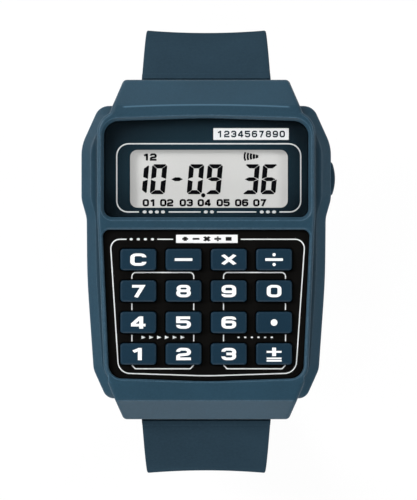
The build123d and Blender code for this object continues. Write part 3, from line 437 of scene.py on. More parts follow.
@dataclass(frozen=True)
class Panel:
    """Flat sheet whose colour changes from its middle to its rim, such as the display or its mask. The change is
    painted light and shade: the mask darkens to a painted shade at its rim, and the display's sheet is lighter at its
    rim against the shade that falls there.
    """

    name: str
    middle: Colour
    rim: Colour
    centre: Triple
    half_size: Triple
    roughness: float = 0.5
    specular: float = 0.2
    # Painted light: strength and colour of the sheet's own glow
    glow: float = 0.0
    painted_glow_colour: Colour = (255, 255, 253)
    shares: Pair = (0.9, 0.06)
    grain_size: float = 0.2
    roughness_share: float = 0.1

    def material(self) -> bpy.types.Material:
        """Builds the material: the distance from the centre, in half sizes, picks the colour.

        The glow is painted light: the sheet gives off even light of its own, which lightens the shade that falls on
        it.

        Returns:
            The finished material.
        """
        net = Paint(self.name)
        shrink = tuple(1 / (half * MM) for half in self.half_size)
        shift = tuple(-middle / half for middle, half in zip(self.centre, self.half_size))
        away = net.node("ShaderNodeVectorMath", {"operation": "LENGTH"}, {0: net.place(shrink, shift)}, "Value")
        fine = net.noise(net.place(), self.grain_size)
        by_distance, by_noise = self.shares
        share = (away.power(2.0) * by_distance + (fine - 0.5) * by_noise).within(0.0, 1.0)
        net.put(
            Base_Color=net.mix(share, linear(self.middle), linear(self.rim)),
            Roughness=self.roughness + (fine - 0.5) * self.roughness_share,
            Specular_IOR_Level=self.specular,
            Emission_Color=linear(self.painted_glow_colour),
            Emission_Strength=self.glow,
        )
        return net.material


@dataclass(frozen=True)
class Clear:
    """Thin clear sheet with a faint tint and wipe marks."""

    name: str
    colour: Colour = (14, 20, 26)
    alpha: float = 0.05
    roughness: float = 0.05
    specular: float = 0.3
    ior: float = 1.49
    wipe_size: float = 1.5
    wipe_stretch: Triple = (1.0, 0.2, 1.0)
    wipe_gains: Pair = (0.96, 1.0)
    roughness_share: float = 0.05

    def material(self) -> bpy.types.Material:
        """Builds the material.

        Returns:
            The finished material.
        """
        net = Paint(self.name)
        wipes = net.noise(net.place(self.wipe_stretch), self.wipe_size)
        net.put(
            Base_Color=net.shades(wipes, self.colour, *self.wipe_gains),
            Roughness=self.roughness + wipes * self.roughness_share,
            Alpha=self.alpha,
            IOR=self.ior,
            Specular_IOR_Level=self.specular,
        )
        return net.material


@dataclass(frozen=True)
class Banded:
    """Bands of one colour on another: tracks under a board's lacquer, or turns of wound wire.

    Each wave has its axis and the range of it that makes a band.
    """

    name: str
    ground: Colour
    band: Colour
    pitch: float
    distortion: float
    waves: tuple[tuple[str, float, float], ...]
    roughness: float
    roughness_share: float
    depth: float
    metallic: float = 0.0

    def material(self) -> bpy.types.Material:
        """Builds the material: where all waves are in their range, there is a band.

        Returns:
            The finished material.
        """
        net = Paint(self.name)
        bands = 1.0
        for axis, low, high in self.waves:
            bands = net.bands(axis, self.pitch, self.distortion).within(low, high) * bands
        net.put(
            Base_Color=net.mix(bands, linear(self.ground), linear(self.band)),
            Roughness=self.roughness - bands * self.roughness_share,
            Metallic=self.metallic,
            Normal=net.bump(bands, self.depth),
        )
        return net.material


# Case: edges lighter with wear and a painted highlight, a painted highlight line on the hood's crease, painted shade
# in nooks
CASE = Resin(
    "case_resin", (35, 63, 79), roughness=0.44, cloud_size=9.0, edge_radius=0.3, edge_highlight_gain=3.0, edge_highlight_sheen=0.05,
    round_radius=0.6, specular=0.18, crease=(19.96, 0.0022, 11.6), painted_shade_reach=1.4,
)
STRAP = Resin(
    "strap_resin", (41, 59, 71), roughness=0.6, grain_size=0.16, cloud_size=11.0, edge_highlight_gain=2.0, specular=0.0
)
# Keys: rims lighter with wear and a painted highlight, and painted shade in nooks
KEY = Resin(
    "key_resin", (17, 43, 59), roughness=0.45, grain_size=0.1, edge_radius=0.3, edge_highlight_gain=2.6, edge_highlight_sheen=0.02,
    round_radius=0.28, painted_shade_reach=0.8,
)
BUTTON = Resin("button_resin", (34, 60, 76), edge_radius=0.2, edge_highlight_gain=1.9)
PLATE = Resin("plate_lacquer", (9, 8, 7), roughness=0.55, edge_highlight_gain=1.8, specular=0.05)
HOLDER = Resin("holder_plastic", (226, 226, 220), grain_size=0.2)
MODULE = Resin("module_plastic", (30, 31, 33), grain_size=0.2)
POTTING = Resin("chip_potting", (18, 18, 19), roughness=0.3, grain_size=0.4)
SILICONE = Resin("silicone", (150, 154, 158), roughness=0.55, grain_size=0.15)
GASKET = Resin("gasket_rubber", (34, 36, 38), roughness=0.6)
ADHESIVE = Resin("adhesive_foam", (36, 38, 42), roughness=0.8, grain_size=0.1, grain_depth=0.02)
CERAMIC = Resin("capacitor_ceramic", (150, 120, 88))
LIGHT_SHEET = Resin("light_sheet", (196, 214, 208), roughness=0.6)
STEEL = Metal("brushed_steel", (176, 178, 181), roughness=0.32)
BRIGHT = Metal("spring_steel", (206, 208, 210), roughness=0.2, mark_size=0.05)
BRASS = Metal("piezo_brass", (196, 166, 96), roughness=0.32, stretch=(1.0, 1.0, 1.0))
BOARD = Banded(
    "board_lacquer", (24, 74, 46), (58, 118, 66), 1.1, 6.0, (("X", 0.78, 0.86), ("Y", 0.2, 0.3)),
    roughness=0.4, roughness_share=0.1, depth=0.02,
)
WINDING = Banded(
    "wound_copper", (70, 34, 18), (176, 98, 52), 0.1, 0.4, (("Z", 0.0, 1.0),),
    roughness=0.55, roughness_share=0.2, depth=0.03, metallic=0.8,
)
INK_WHITE = Print("ink_white", (248, 249, 249))
INK_LINE = Print("ink_line", (228, 231, 231))
INK_BLACK = Print("ink_black", (16, 16, 16))
SEGMENT = Print("display_segment", (6, 6, 8), roughness=0.7, specular=0.04)
LENS = Clear("lens_clear")
GLASS = Clear("display_glass", (196, 204, 202), alpha=0.12)
# Display sheet: a lighter rim and a glow, both painted light against the shade that the frame casts on it
READING = Panel("display_sheet", (174, 174, 172), (184, 184, 182), (1.0, 9.0, 6.65), (13.0, 6.5, 4.0), glow=0.29)
# Mask: darker towards its rim, a painted shade of the recess round it
MASK = Panel(
    "mask_print", (29, 52, 63), (14, 27, 34), (0.0, 10.6, 7.6), (15.0, 8.2, 4.0), roughness=0.7, specular=0.05
)

NODE_FINISHES: dict[object, str] = {
    CASE: "case_body",
    STRAP: "strap_buckle_side strap_hole_side keeper",
    BUTTON: "side_pusher",
    PLATE: "keypad_plate",
    LENS: "lens",
    MASK: "display_mask",
    ADHESIVE: "lens_tape",
    GLASS: "lcd_front_glass lcd_rear_glass",
    READING: "lcd_front_polariser lcd_rear_polariser",
    LIGHT_SHEET: "backlight_panel",
    HOLDER: "display_holder",
    MODULE: "module_frame",
    POTTING: "chip_cover",
    SILICONE: "keypad_membrane zebra_strips",
    GASKET: "back_gasket pusher_seal",
    CERAMIC: "chip_capacitors",
    BOARD: "circuit_board",
    WINDING: "light_coil",
    BRASS: "buzzer_disc",
    STEEL: "case_back back_screws battery buckle_frame buckle_bar buckle_tongue quartz_crystal",
    BRIGHT: "battery_clip buzzer_spring pusher_spring pusher_clip upper_bar_tube upper_bar_spring lower_bar_tube"
    " lower_bar_spring upper_bar_tip_right upper_bar_tip_left lower_bar_tip_right lower_bar_tip_left",
}


# Shapes


@dataclass
class Shape:
    """Points in millimetres and the faces between them."""

    points: np.ndarray
    faces: list[list[int]]

    def moved(self, by: Pair, stretch: Pair = (1.0, 1.0)) -> "Shape":
        """The shape stretched and then moved in the plane."""
        return Shape(self.points * (*stretch, 1.0) + (*by, 0.0), self.faces)

    def sheared(self, slope: float) -> "Shape":
        """The shape leant over: each point moves along X by the slope times its Y."""
        return Shape(self.points + self.points[:, 1:2] * (slope, 0.0, 0.0), self.faces)


def joined(shapes: list[Shape]) -> Shape:
    """Several shapes as one.

    Args:
        shapes: The shapes.

    Returns:
        A shape with all their points and faces.
    """
    starts = np.cumsum([0] + [len(shape.points) for shape in shapes[:-1]])
    faces = [[index + start for index in face] for shape, start in zip(shapes, starts) for face in shape.faces]
    return Shape(np.vstack([shape.points for shape in shapes]), faces)


def unit(turns: np.ndarray) -> np.ndarray:
    """Directions of angles: cosine and sine, one row each."""
    return np.stack([np.cos(turns), np.sin(turns)], axis=-1)


def leftwards(rows: np.ndarray) -> np.ndarray:
    """Directions turned a quarter to the left."""
    return np.stack([-rows[:, 1], rows[:, 0]], axis=1)


def lifted(outline: np.ndarray, height: float) -> np.ndarray:
    """Points of a flat outline at a height."""
    return np.column_stack([outline, np.full(len(outline), height)])


def ramp(values: np.ndarray, start: float, length: float) -> np.ndarray:
    """0 up to the start, then evenly up to 1 over the length."""
    return np.clip((values - start) / length, 0, 1)


def eased(share: np.ndarray) -> np.ndarray:
    """A share from 0 to 1 with soft ends: x squared times (3 less 2 x)."""
    return share**2 * (3 - 2 * share)


def arc_height(radius: float, away: np.ndarray) -> np.ndarray:
    """Height of a circle over its middle: root of r squared less x squared, and 0 past its sides."""
    return np.sqrt(np.maximum(radius**2 - away**2, 0))


def quads(rows: int, count: int, looped: bool = False) -> list[list[int]]:
    """Faces between neighbouring points of rows, each of which joins up.

    Args:
        rows: How many rows.
        count: Points in a row.
        looped: Whether the last row joins the first.

    Returns:
        Four indices for each face.
    """
    near = np.arange(rows if looped else rows - 1)[:, None] * count
    far = (near + count) % (rows * count)
    here, after = np.arange(count), (np.arange(count) + 1) % count
    return np.stack([near + here, near + after, far + after, far + here], axis=2).reshape(-1, 4).tolist()


def swept(points: np.ndarray) -> Shape:
    """Closed skin over a row of rings.

    Args:
        points: The rings' points, as rings by points by three.

    Returns:
        The shape, with both ends closed.
    """
    rings, count, _ = points.shape
    ends = [list(range(count)), list(range((rings - 1) * count, rings * count))[::-1]]
    return Shape(points.reshape(-1, 3), quads(rings, count) + ends)


def rounded(corners: Corners, closed: bool = True, steps: int = 7) -> np.ndarray:
    """Path through corners, each replaced by an arc that touches both of its sides.

    The arc of radius r starts r / tan(half the corner's angle) before the corner.

    Args:
        corners: x, y and radius of each corner.
        closed: Whether the last corner joins the first.
        steps: Points on each arc, less one.

    Returns:
        Points of the path, one row each.
    """
    spots = np.array([corner[:2] for corner in corners], float)
    count = len(corners)
    pieces = []
    for index, (_, _, radius) in enumerate(corners):
        here = spots[index]
        if not radius or (not closed and index in (0, count - 1)):
            pieces.append(here[None])
            continue
        back, ahead = (spots[other] - here for other in (index - 1, (index + 1) % count))
        back, ahead = back / np.linalg.norm(back), ahead / np.linalg.norm(ahead)
        half = math.acos(np.clip(back @ ahead, -1, 1)) / 2
        middle = (back + ahead) / np.linalg.norm(back + ahead)
        centre = here + middle * radius / math.sin(half)
        first, last = (
            math.atan2(y, x) for x, y in (here + way * radius / math.tan(half) - centre for way in (back, ahead))
        )
        turn = (last - first + math.pi) % (2 * math.pi) - math.pi
        pieces.append(centre + radius * unit(first + turn * np.linspace(0, 1, steps + 1)))
    return np.vstack(pieces)


def stroke(path: np.ndarray, width: float, low: float, high: float, closed: bool = False) -> Shape:
    """Band of a width along a path, with a rectangular section from low to high.

    Each point is carried sideways along the mean of its two sides' normals, lengthened so that the
    band keeps its width round the corner.

    Args:
        path: Points of the middle line.
        width: Width of the band.
        low: Height of its underside.
        high: Height of its top.
        closed: Whether the path joins up.

    Returns:
        The closed band.
    """
    ahead = np.roll(path, -1, axis=0) - path
    if not closed:
        ahead[-1] = ahead[-2]
    ahead /= np.linalg.norm(ahead, axis=1, keepdims=True)
    behind = np.roll(ahead, 1, axis=0)
    if not closed:
        behind[0] = ahead[0]
    normals = leftwards(ahead) + leftwards(behind)
    offset = normals * width / (normals**2).sum(axis=1, keepdims=True)
    left, right = path + offset, path - offset
    ring = np.stack([lifted(left, low), lifted(right, low), lifted(right, high), lifted(left, high)], axis=1)
    faces = quads(len(path), 4, closed)
    if not closed:
        faces += [[0, 1, 2, 3], [len(path) * 4 - 1 - corner for corner in range(4)]]
    return Shape(ring.reshape(-1, 3), faces)


def slab(outline: np.ndarray, low: float, high: float) -> Shape:
    """Flat slab with an outline, turned anticlockwise first where it runs the other way.

    Args:
        outline: Points of the outline.
        low: Height of its underside.
        high: Height of its top.

    Returns:
        The closed slab.
    """
    x, y = outline.T
    if (x * np.roll(y, -1) - np.roll(x, -1) * y).sum() < 0:
        outline = outline[::-1]
    count = len(outline)
    caps = [list(range(count))[::-1], list(range(count, 2 * count))]
    return Shape(np.vstack([lifted(outline, low), lifted(outline, high)]), quads(2, count) + caps)


def frame_slab(outer: np.ndarray, inner: np.ndarray, low: float, high: float) -> Shape:
    """Slab between two anticlockwise loops with the same number of points.

    Args:
        outer: Points of the outer loop.
        inner: Points of the inner loop.
        low: Height of its underside.
        high: Height of its top.

    Returns:
        The closed frame.
    """
    loops = ((outer, low), (inner, low), (inner, high), (outer, high))
    points = np.vstack([lifted(loop, height) for loop, height in loops])
    return Shape(points, quads(len(loops), len(outer), looped=True))


def polar_loop(path: np.ndarray, centre: Pair, count: int) -> np.ndarray:
    """Closed path seen from a centre, sampled at even turns.

    Args:
        path: Points of the path, which every ray from the centre meets once.
        centre: The centre.
        count: How many samples.

    Returns:
        The samples, anticlockwise.
    """
    away = path - centre
    turns = np.arctan2(away[:, 1], away[:, 0])
    order = np.argsort(turns)
    reach = np.linalg.norm(away, axis=1)[order]
    even = np.linspace(-math.pi, math.pi, count, endpoint=False)
    return centre + np.interp(even, turns[order], reach, period=2 * math.pi)[:, None] * unit(even)


def dense(path: np.ndarray, step: float = 0.05) -> np.ndarray:
    """Closed path sampled at even steps.

    Args:
        path: Points of the path.
        step: Distance along it from one sample to the next.

    Returns:
        The samples, the first of them the path's own first point.
    """
    ahead = np.roll(path, -1, axis=0)
    lengths = np.linalg.norm(ahead - path, axis=1)
    travel = np.concatenate([[0], np.cumsum(lengths)])
    spots = np.arange(0, travel[-1], step)
    looped = np.vstack([path, path[:1]])
    return np.stack([np.interp(spots, travel, looped[:, axis]) for axis in (0, 1)], axis=1)


def circle(centre: Pair, radius: float, count: int = 28) -> np.ndarray:
    """Points on a circle."""
    return np.asarray(centre) + radius * unit(np.linspace(0, 2 * math.pi, count, endpoint=False))


def box_outline(centre: Pair, size: Pair, radius: float = 0.0) -> np.ndarray:
    """Rectangle with rounded corners."""
    (x, y), (half_x, half_y) = centre, (size[0] / 2, size[1] / 2)
    return rounded([(x + a * half_x, y + b * half_y, radius) for a, b in ((1, 1), (-1, 1), (-1, -1), (1, -1))])


def linked(name: str, data: object) -> bpy.types.Object:
    """Adds an object to the scene.

    Args:
        name: Its name.
        data: Its mesh, lamp or camera.

    Returns:
        The object.
    """
    made = bpy.data.objects.new(name, data)
    bpy.context.scene.collection.objects.link(made)
    return made


def smooth(mesh: bpy.types.Mesh) -> None:
    """Shades all faces of a mesh smooth."""
    mesh.polygons.foreach_set("use_smooth", np.ones(len(mesh.polygons), bool))


def solid(name: str, shape: Shape) -> bpy.types.Object:
    """Adds an object of a shape to the scene, with its faces turned outwards.

    Args:
        name: Its name.
        shape: The shape.

    Returns:
        The object.
    """
    mesh = bpy.data.meshes.new(name)
    mesh.from_pydata(shape.points * MM, [], shape.faces)
    mesh.validate()
    turned = bmesh.new()
    turned.from_mesh(mesh)
    bmesh.ops.recalc_face_normals(turned, faces=turned.faces)
    turned.to_mesh(mesh)
    turned.free()
    return linked(name, mesh)


def carved(name: str, shape: Shape, cutters: list[Shape], crease: float = 35.0) -> bpy.types.Object:
    """A shape with others taken out of it, shaded smooth except where it bends sharply.

    Args:
        name: Name of the piece.
        shape: The whole shape.
        cutters: Closed shapes that are taken out one after the other.
        crease: Angle in degrees past which an edge stays sharp.

    Returns:
        The object.
    """
    made = solid(name, shape)
    tools = [solid(f"{name}_cutter", cutter) for cutter in cutters]
    for tool in tools:
        cut = made.modifiers.new("cut", "BOOLEAN")
        cut.operation, cut.solver, cut.object = "DIFFERENCE", "EXACT", tool
    whole = bpy.data.meshes.new_from_object(made.evaluated_get(bpy.context.evaluated_depsgraph_get()))
    made.modifiers.clear()
    made.data = whole
    for tool in tools:
        bpy.data.objects.remove(tool)
    smooth(whole)
    whole.set_sharp_from_angle(angle=math.radians(crease))
    return made


def worn(made: bpy.types.Object, finish: object, body: str) -> bpy.types.Object:
    """Gives an object its finish and the body that it rides on.

    Args:
        made: The object.
        finish: The finish whose material it gets.
        body: Body that it rides on.

    Returns:
        The same object.
    """
    made.data.materials.append(Wardrobe.get(finish))
    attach(made, body)
    LOG.info("%s: %d faces, on %s", made.name, len(made.data.polygons), body)
    return made


def piece(
    name: str, shapes: list[Shape], finish: object, body: str = Body.HEAD.value
) -> bpy.types.Object:
    """Makes one object of some shapes, in millimetres, and dresses it as worn does."""
    return worn(solid(name, joined(shapes)), finish, body)


class Wardrobe:
    """Keeps one material for each finish, and dresses the frame's own nodes."""

    _made: dict[object, bpy.types.Material] = {}

    @classmethod
    def get(cls, finish: object) -> bpy.types.Material:
        """The material of a finish, built the first time it is asked for.

        Args:
            finish: The finish.

        Returns:
            Its material.
        """
        if finish not in cls._made:
            cls._made[finish] = finish.material()
        return cls._made[finish]

    @classmethod
    def dress(cls, finish: object, names: str) -> None:
        """Gives nodes of the frame their finish.

        Args:
            finish: The finish.
            names: Names of the nodes, with spaces between them.
        """
        for name in names.split():
            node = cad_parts[name]
            if node.material_slots:
                for place in node.material_slots:
                    place.material = cls.get(finish)
            else:
                node.data.materials.append(cls.get(finish))
            LOG.info("%s: %s", name, finish.name)


# Marks


def way(*corners: Triple) -> tuple[Corners, bool]:
    """Open middle line through corners, and that it doesn't join up."""
    return list(corners), False


def loop(*corners: Triple) -> tuple[Corners, bool]:
    """Closed middle line through corners, and that it joins up."""
    return list(corners), True


def bar(x: float, y: float, to_x: float, to_y: float) -> tuple[Corners, bool]:
    """Straight middle line between two places."""
    return way((x, y, 0), (to_x, to_y, 0))


class Marks:
    """Plain numerals and signs, drawn as strokes in a cell of a width and a height."""

    width, height = 1.5, 1.83
    weight = 0.4
    right, top, bend = 0.55, 0.715, 0.38
    lift_share = 0.05
    dots = {"/": ((0.0, 0.56, 0.2), (0.0, -0.56, 0.2)), ".": ((0.0, 0.0, 0.42),)}
    outlines = {">": ((-0.5, 0.6), (-0.5, -0.6), (0.6, 0.0))}

    @classmethod
    def strokes(cls) -> dict[str, list[tuple[Corners, bool]]]:
        """Middle lines of each mark, and whether each joins up.

        Returns:
            The middle lines by mark, in the cell's own units.
        """
        r, t, b = cls.right, cls.top, cls.bend
        wide, snug, slight, tight = b * 0.9, b * 0.85, b * 0.8, b * 0.65
        waist, inset = r - 0.04, b * 0.75
        belly = [(r, -t, b), (-r, -t, snug), (-r, -0.36, 0)]
        minus = bar(-0.64, 0, 0.64, 0)
        six = [
            loop((r, 0.1, tight), (r, -t, b), (-r, -t, b), (-r, 0.1, 0)),
            way((r, 0.44, 0), (r, t, tight), (-r, t, b), (-r, -0.2, 0)),
        ]
        return {
            "0": [loop((r, t, b), (r, -t, b), (-r, -t, b), (-r, t, b))],
            "1": [bar(0.16, 0.91, 0.16, -0.91), bar(-0.5, 0.36, 0.12, 0.72)],
            "2": [
                way((-r, 0.34, 0), (-r, t, wide), (r, t, b), (r, -0.02, slight),
                    (-r, -0.16, b * 0.7), (-r, -t, 0), (r + 0.2, -t, 0)),
            ],
            "3": [
                way((-r, 0.36, 0), (-r, t, snug), (r, t, b), (r, 0.02, tight), (-0.25, 0.02, 0)),
                way((-0.25, 0.02, 0), (r, 0.02, tight), *belly),
            ],
            "4": [bar(0.3, -0.91, 0.3, 0.91), bar(0.2, 0.75, -0.62, -0.3), bar(-0.74, -0.38, 0.74, -0.38)],
            "5": [way((r + 0.12, t, 0), (-r, t, 0), (-r, 0.12, 0), (r, 0.12, wide), *belly)],
            "6": six,
            "7": [way((-r - 0.08, t, 0), (r - 0.1, t, 0), (-0.24, -0.92, 0))],
            "8": [
                loop((waist, t, snug), (waist, 0.04, inset), (-waist, 0.04, inset), (-waist, t, snug)),
                loop((r, 0.04, slight), (r, -t, b), (-r, -t, b), (-r, 0.04, slight)),
            ],
            "9": [([(-x, -y, radius) for x, y, radius in corners], joins) for corners, joins in six],
            "C": [way((r, 0.34, 0), (r, t, wide), (-r, t, b), (-r, -t, b), (r, -t, wide), (r, -0.34, 0))],
            "x": [bar(-0.5, 0.66, 0.5, -0.66), bar(-0.5, -0.66, 0.5, 0.66)],
            "+": [bar(-0.55, 0, 0.55, 0), bar(0, -0.66, 0, 0.66)],
            "=": [bar(-0.55, 0.3, 0.55, 0.3), bar(-0.55, -0.3, 0.55, -0.3)],
            "-": [minus],
            "/": [minus],
        }

    @classmethod
    def draw(cls, mark: str, centre: Pair, size: Pair, heights: Pair, weight: float) -> Shape:
        """One mark.

        Args:
            mark: Which mark.
            centre: Its place.
            size: Its width and height.
            heights: Heights of its underside and top.
            weight: Width of its strokes in the cell's own units.

        Returns:
            The closed strokes; each lies a hair above the last, so that none share a face.
        """
        low, high = heights
        lift = (high - low) * cls.lift_share
        shapes = [
            stroke(rounded(corners, joins), weight, low, high + lift * turn, joins)
            for turn, (corners, joins) in enumerate(cls.strokes().get(mark, ()))
        ]
        shapes += [slab(circle((x, y), radius), low, high) for x, y, radius in cls.dots.get(mark, ())]
        if mark in cls.outlines:
            shapes.append(slab(np.array(cls.outlines[mark]), low, high))
        return joined(shapes).moved(centre, (size[0] / cls.width, size[1] / cls.height))

    @classmethod
    def row(cls, text: str, start: Pair, pitch: float, size: Pair, heights: Pair, weight: float) -> list[Shape]:
        """Marks in a row, the first centred on start."""
        places = [(start[0] + index * pitch, start[1]) for index in range(len(text))]
        return [cls.draw(mark, place, size, heights, weight) for mark, place in zip(text, places)]


@dataclass
class Photo:
    """Turns places in a picture of the front, in pixels, into places on the watch."""

    pixel: float = 0.1386
    zero: Pair = (206.2, 249.5)

    def at(self, x: float, y: float) -> Pair:
        """Place on the watch, in millimetres, of a place in the picture."""
        return (x - self.zero[0]) * self.pixel, (self.zero[1] - y) * self.pixel

    def strokes(self, lines: list[Corners], width: float, heights: Pair) -> list[Shape]:
        """Bands of a width in millimetres along open lines, whose corners and radii are in pixels."""
        placed = [[(*self.at(x, y), radius * self.pixel) for x, y, radius in line] for line in lines]
        return [stroke(rounded(line, closed=False), width, *heights) for line in placed]

    def rows(self, rows: tuple[Row, ...], heights: Pair) -> list[Shape]:
        """Rows of marks.

        Args:
            rows: Each row's text, its place in pixels, and its pitch, size and weight.
            heights: Heights of the marks' undersides and tops.

        Returns:
            One shape for each mark.
        """
        return [
            shape
            for text, place, pitch, size, weight in rows
            for shape in Marks.row(text, self.at(*place), pitch, size, heights, weight)
        ]


@dataclass(frozen=True)
class Label:
    """White label with a row of marks on it. Places are in pixels of the picture, sizes in millimetres."""

    name: str
    place: Pair
    size: Pair
    corner: float
    row: Row
    marks_name: str
    marks_finish: object

    def build(self, photo: Photo, heights: Pair, over: float) -> None:
        """Builds the label and its marks.

        Args:
            photo: The picture's scale.
            heights: Heights of the label's underside and top.
            over: How far the marks stand over it.
        """
        low, high = heights
        piece(self.name, [slab(box_outline(photo.at(*self.place), self.size, self.corner), low, high)], INK_WHITE)
        piece(self.marks_name, photo.rows((self.row,), (high, high + over)), self.marks_finish)


@dataclass
class Keypad:
    """The sixteen keys with their marks, and the lines printed on the plate round them.

    The keys are named row by row, each with a mark. A sign has its parts: a mark, its lift over the
    key's middle, its size and its weight.
    """

    pitch: Pair = (6.24, 4.34)
    first: Pair = (-9.36, -1.39)
    mark_size: Pair = (2.02, 1.69)
    ink: float = 0.03
    line_width: float = 0.155
    photo: Photo = field(default_factory=Photo)
    names: str = "clear minus times divide 7 8 9 0 4 5 6 point 1 2 3 equals"
    marks: str = "C-x/7890456.123="
    signs: tuple[tuple[str, tuple[tuple[str, float, Pair, float], ...]], ...] = (
        ("C", (("C", 0.0, (2.2, 1.69), 0.4),)),
        ("-", (("-", 0.0, (2.86, 2.2), 0.3),)),
        ("x", (("x", 0.0, (2.5, 1.76), 0.33),)),
        ("/", (("-", 0.0, (2.86, 2.2), 0.3), (".", 0.68, (0.8, 0.98), 0.4), (".", -0.68, (0.8, 0.98), 0.4))),
        (".", ((".", 0.0, (1.65, 2.0), 0.4),)),
        ("=", (("+", 0.3, (2.8, 1.62), 0.29), ("=", -0.76, (2.8, 1.0), 0.42))),
    )
    bracket_sides: tuple[Pair, ...] = ((132.2, 193.8), (223.5, 285.2))
    tick_ends: tuple[Pair, ...] = ((303.1, 309.8), (334.4, 341))
    label: Label = Label(
        "keypad_label", (206.9, 238.9), (8.5, 1.14), 0.06,
        ("+-x/=", (185.255, 238.9), 1.5, (1.1, 0.78), 0.6), "keypad_label_signs", INK_BLACK,
    )
    small_rows: tuple[Row, ...] = (
        ("....", (131.5, 239.3), 0.98, (0.8, 0.7), 0.4),
        (">>>>>>", (143.6, 337.0), 1.08, (0.78, 0.72), 0.4),
        ("......", (238.4, 337.0), 0.92, (0.62, 0.5), 0.4),
    )

    def keys(self) -> None:
        """Dresses each key and puts its mark on its top."""
        signs = dict(self.signs)
        for index, (name, mark) in enumerate(zip(self.names.split(), self.marks)):
            key = f"key_{name}"
            row, column = divmod(index, 4)
            x, y = self.first[0] + column * self.pitch[0], self.first[1] - row * self.pitch[1]
            Wardrobe.dress(KEY, key)
            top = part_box(key)[1][2] / MM
            heights = (top - self.ink, top + self.ink)
            parts = signs.get(mark, ((mark, 0.0, self.mark_size, Marks.weight),))
            shapes = [Marks.draw(part, (x, y + lift), size, heights, weight) for part, lift, size, weight in parts]
            piece(f"{key}_mark", shapes, INK_WHITE, key)

    def lines(self, heights: Pair) -> list[Shape]:
        """The frame round the keys, open at its labels, and two brackets, each broken at the keys.

        Args:
            heights: Heights of the ink's underside and top.

        Returns:
            One band for each line.
        """
        lines = [
            [(126.9, 239.3, 0), (110.6, 239.3, 9), (119.0, 372.6, 12), (206.5, 375.4, 300),
             (295.4, 372.6, 12), (304.6, 239.3, 9), (240.6, 239.3, 0)],
            [(157.4, 239.3, 0), (173.2, 239.3, 0)],
        ]
        for left, right in self.bracket_sides:
            lines += [
                [(left, 278.8, 0), (left, 272.4, 4), (right, 272.4, 4), (right, 278.8, 0)],
                [(left, 364.6, 0), (left + 3.4, 368.3, 1.5), (right - 3.4, 368.3, 1.5), (right, 364.6, 0)],
                *([(x, low, 0), (x, high, 0)] for x in (left, right) for low, high in self.tick_ends),
            ]
        return self.photo.strokes(lines, self.line_width, heights)

    def build(self) -> None:
        """Builds the keys, the lines, the white label with plain signs on it, and the small marks."""
        self.keys()
        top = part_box("keypad_plate")[1][2] / MM
        heights = (top - self.ink / 2, top + self.ink / 2)
        piece("keypad_lines", self.lines(heights), INK_LINE)
        self.label.build(self.photo, heights, self.ink / 2)
        piece("keypad_small_marks", self.photo.rows(self.small_rows, heights), INK_LINE)


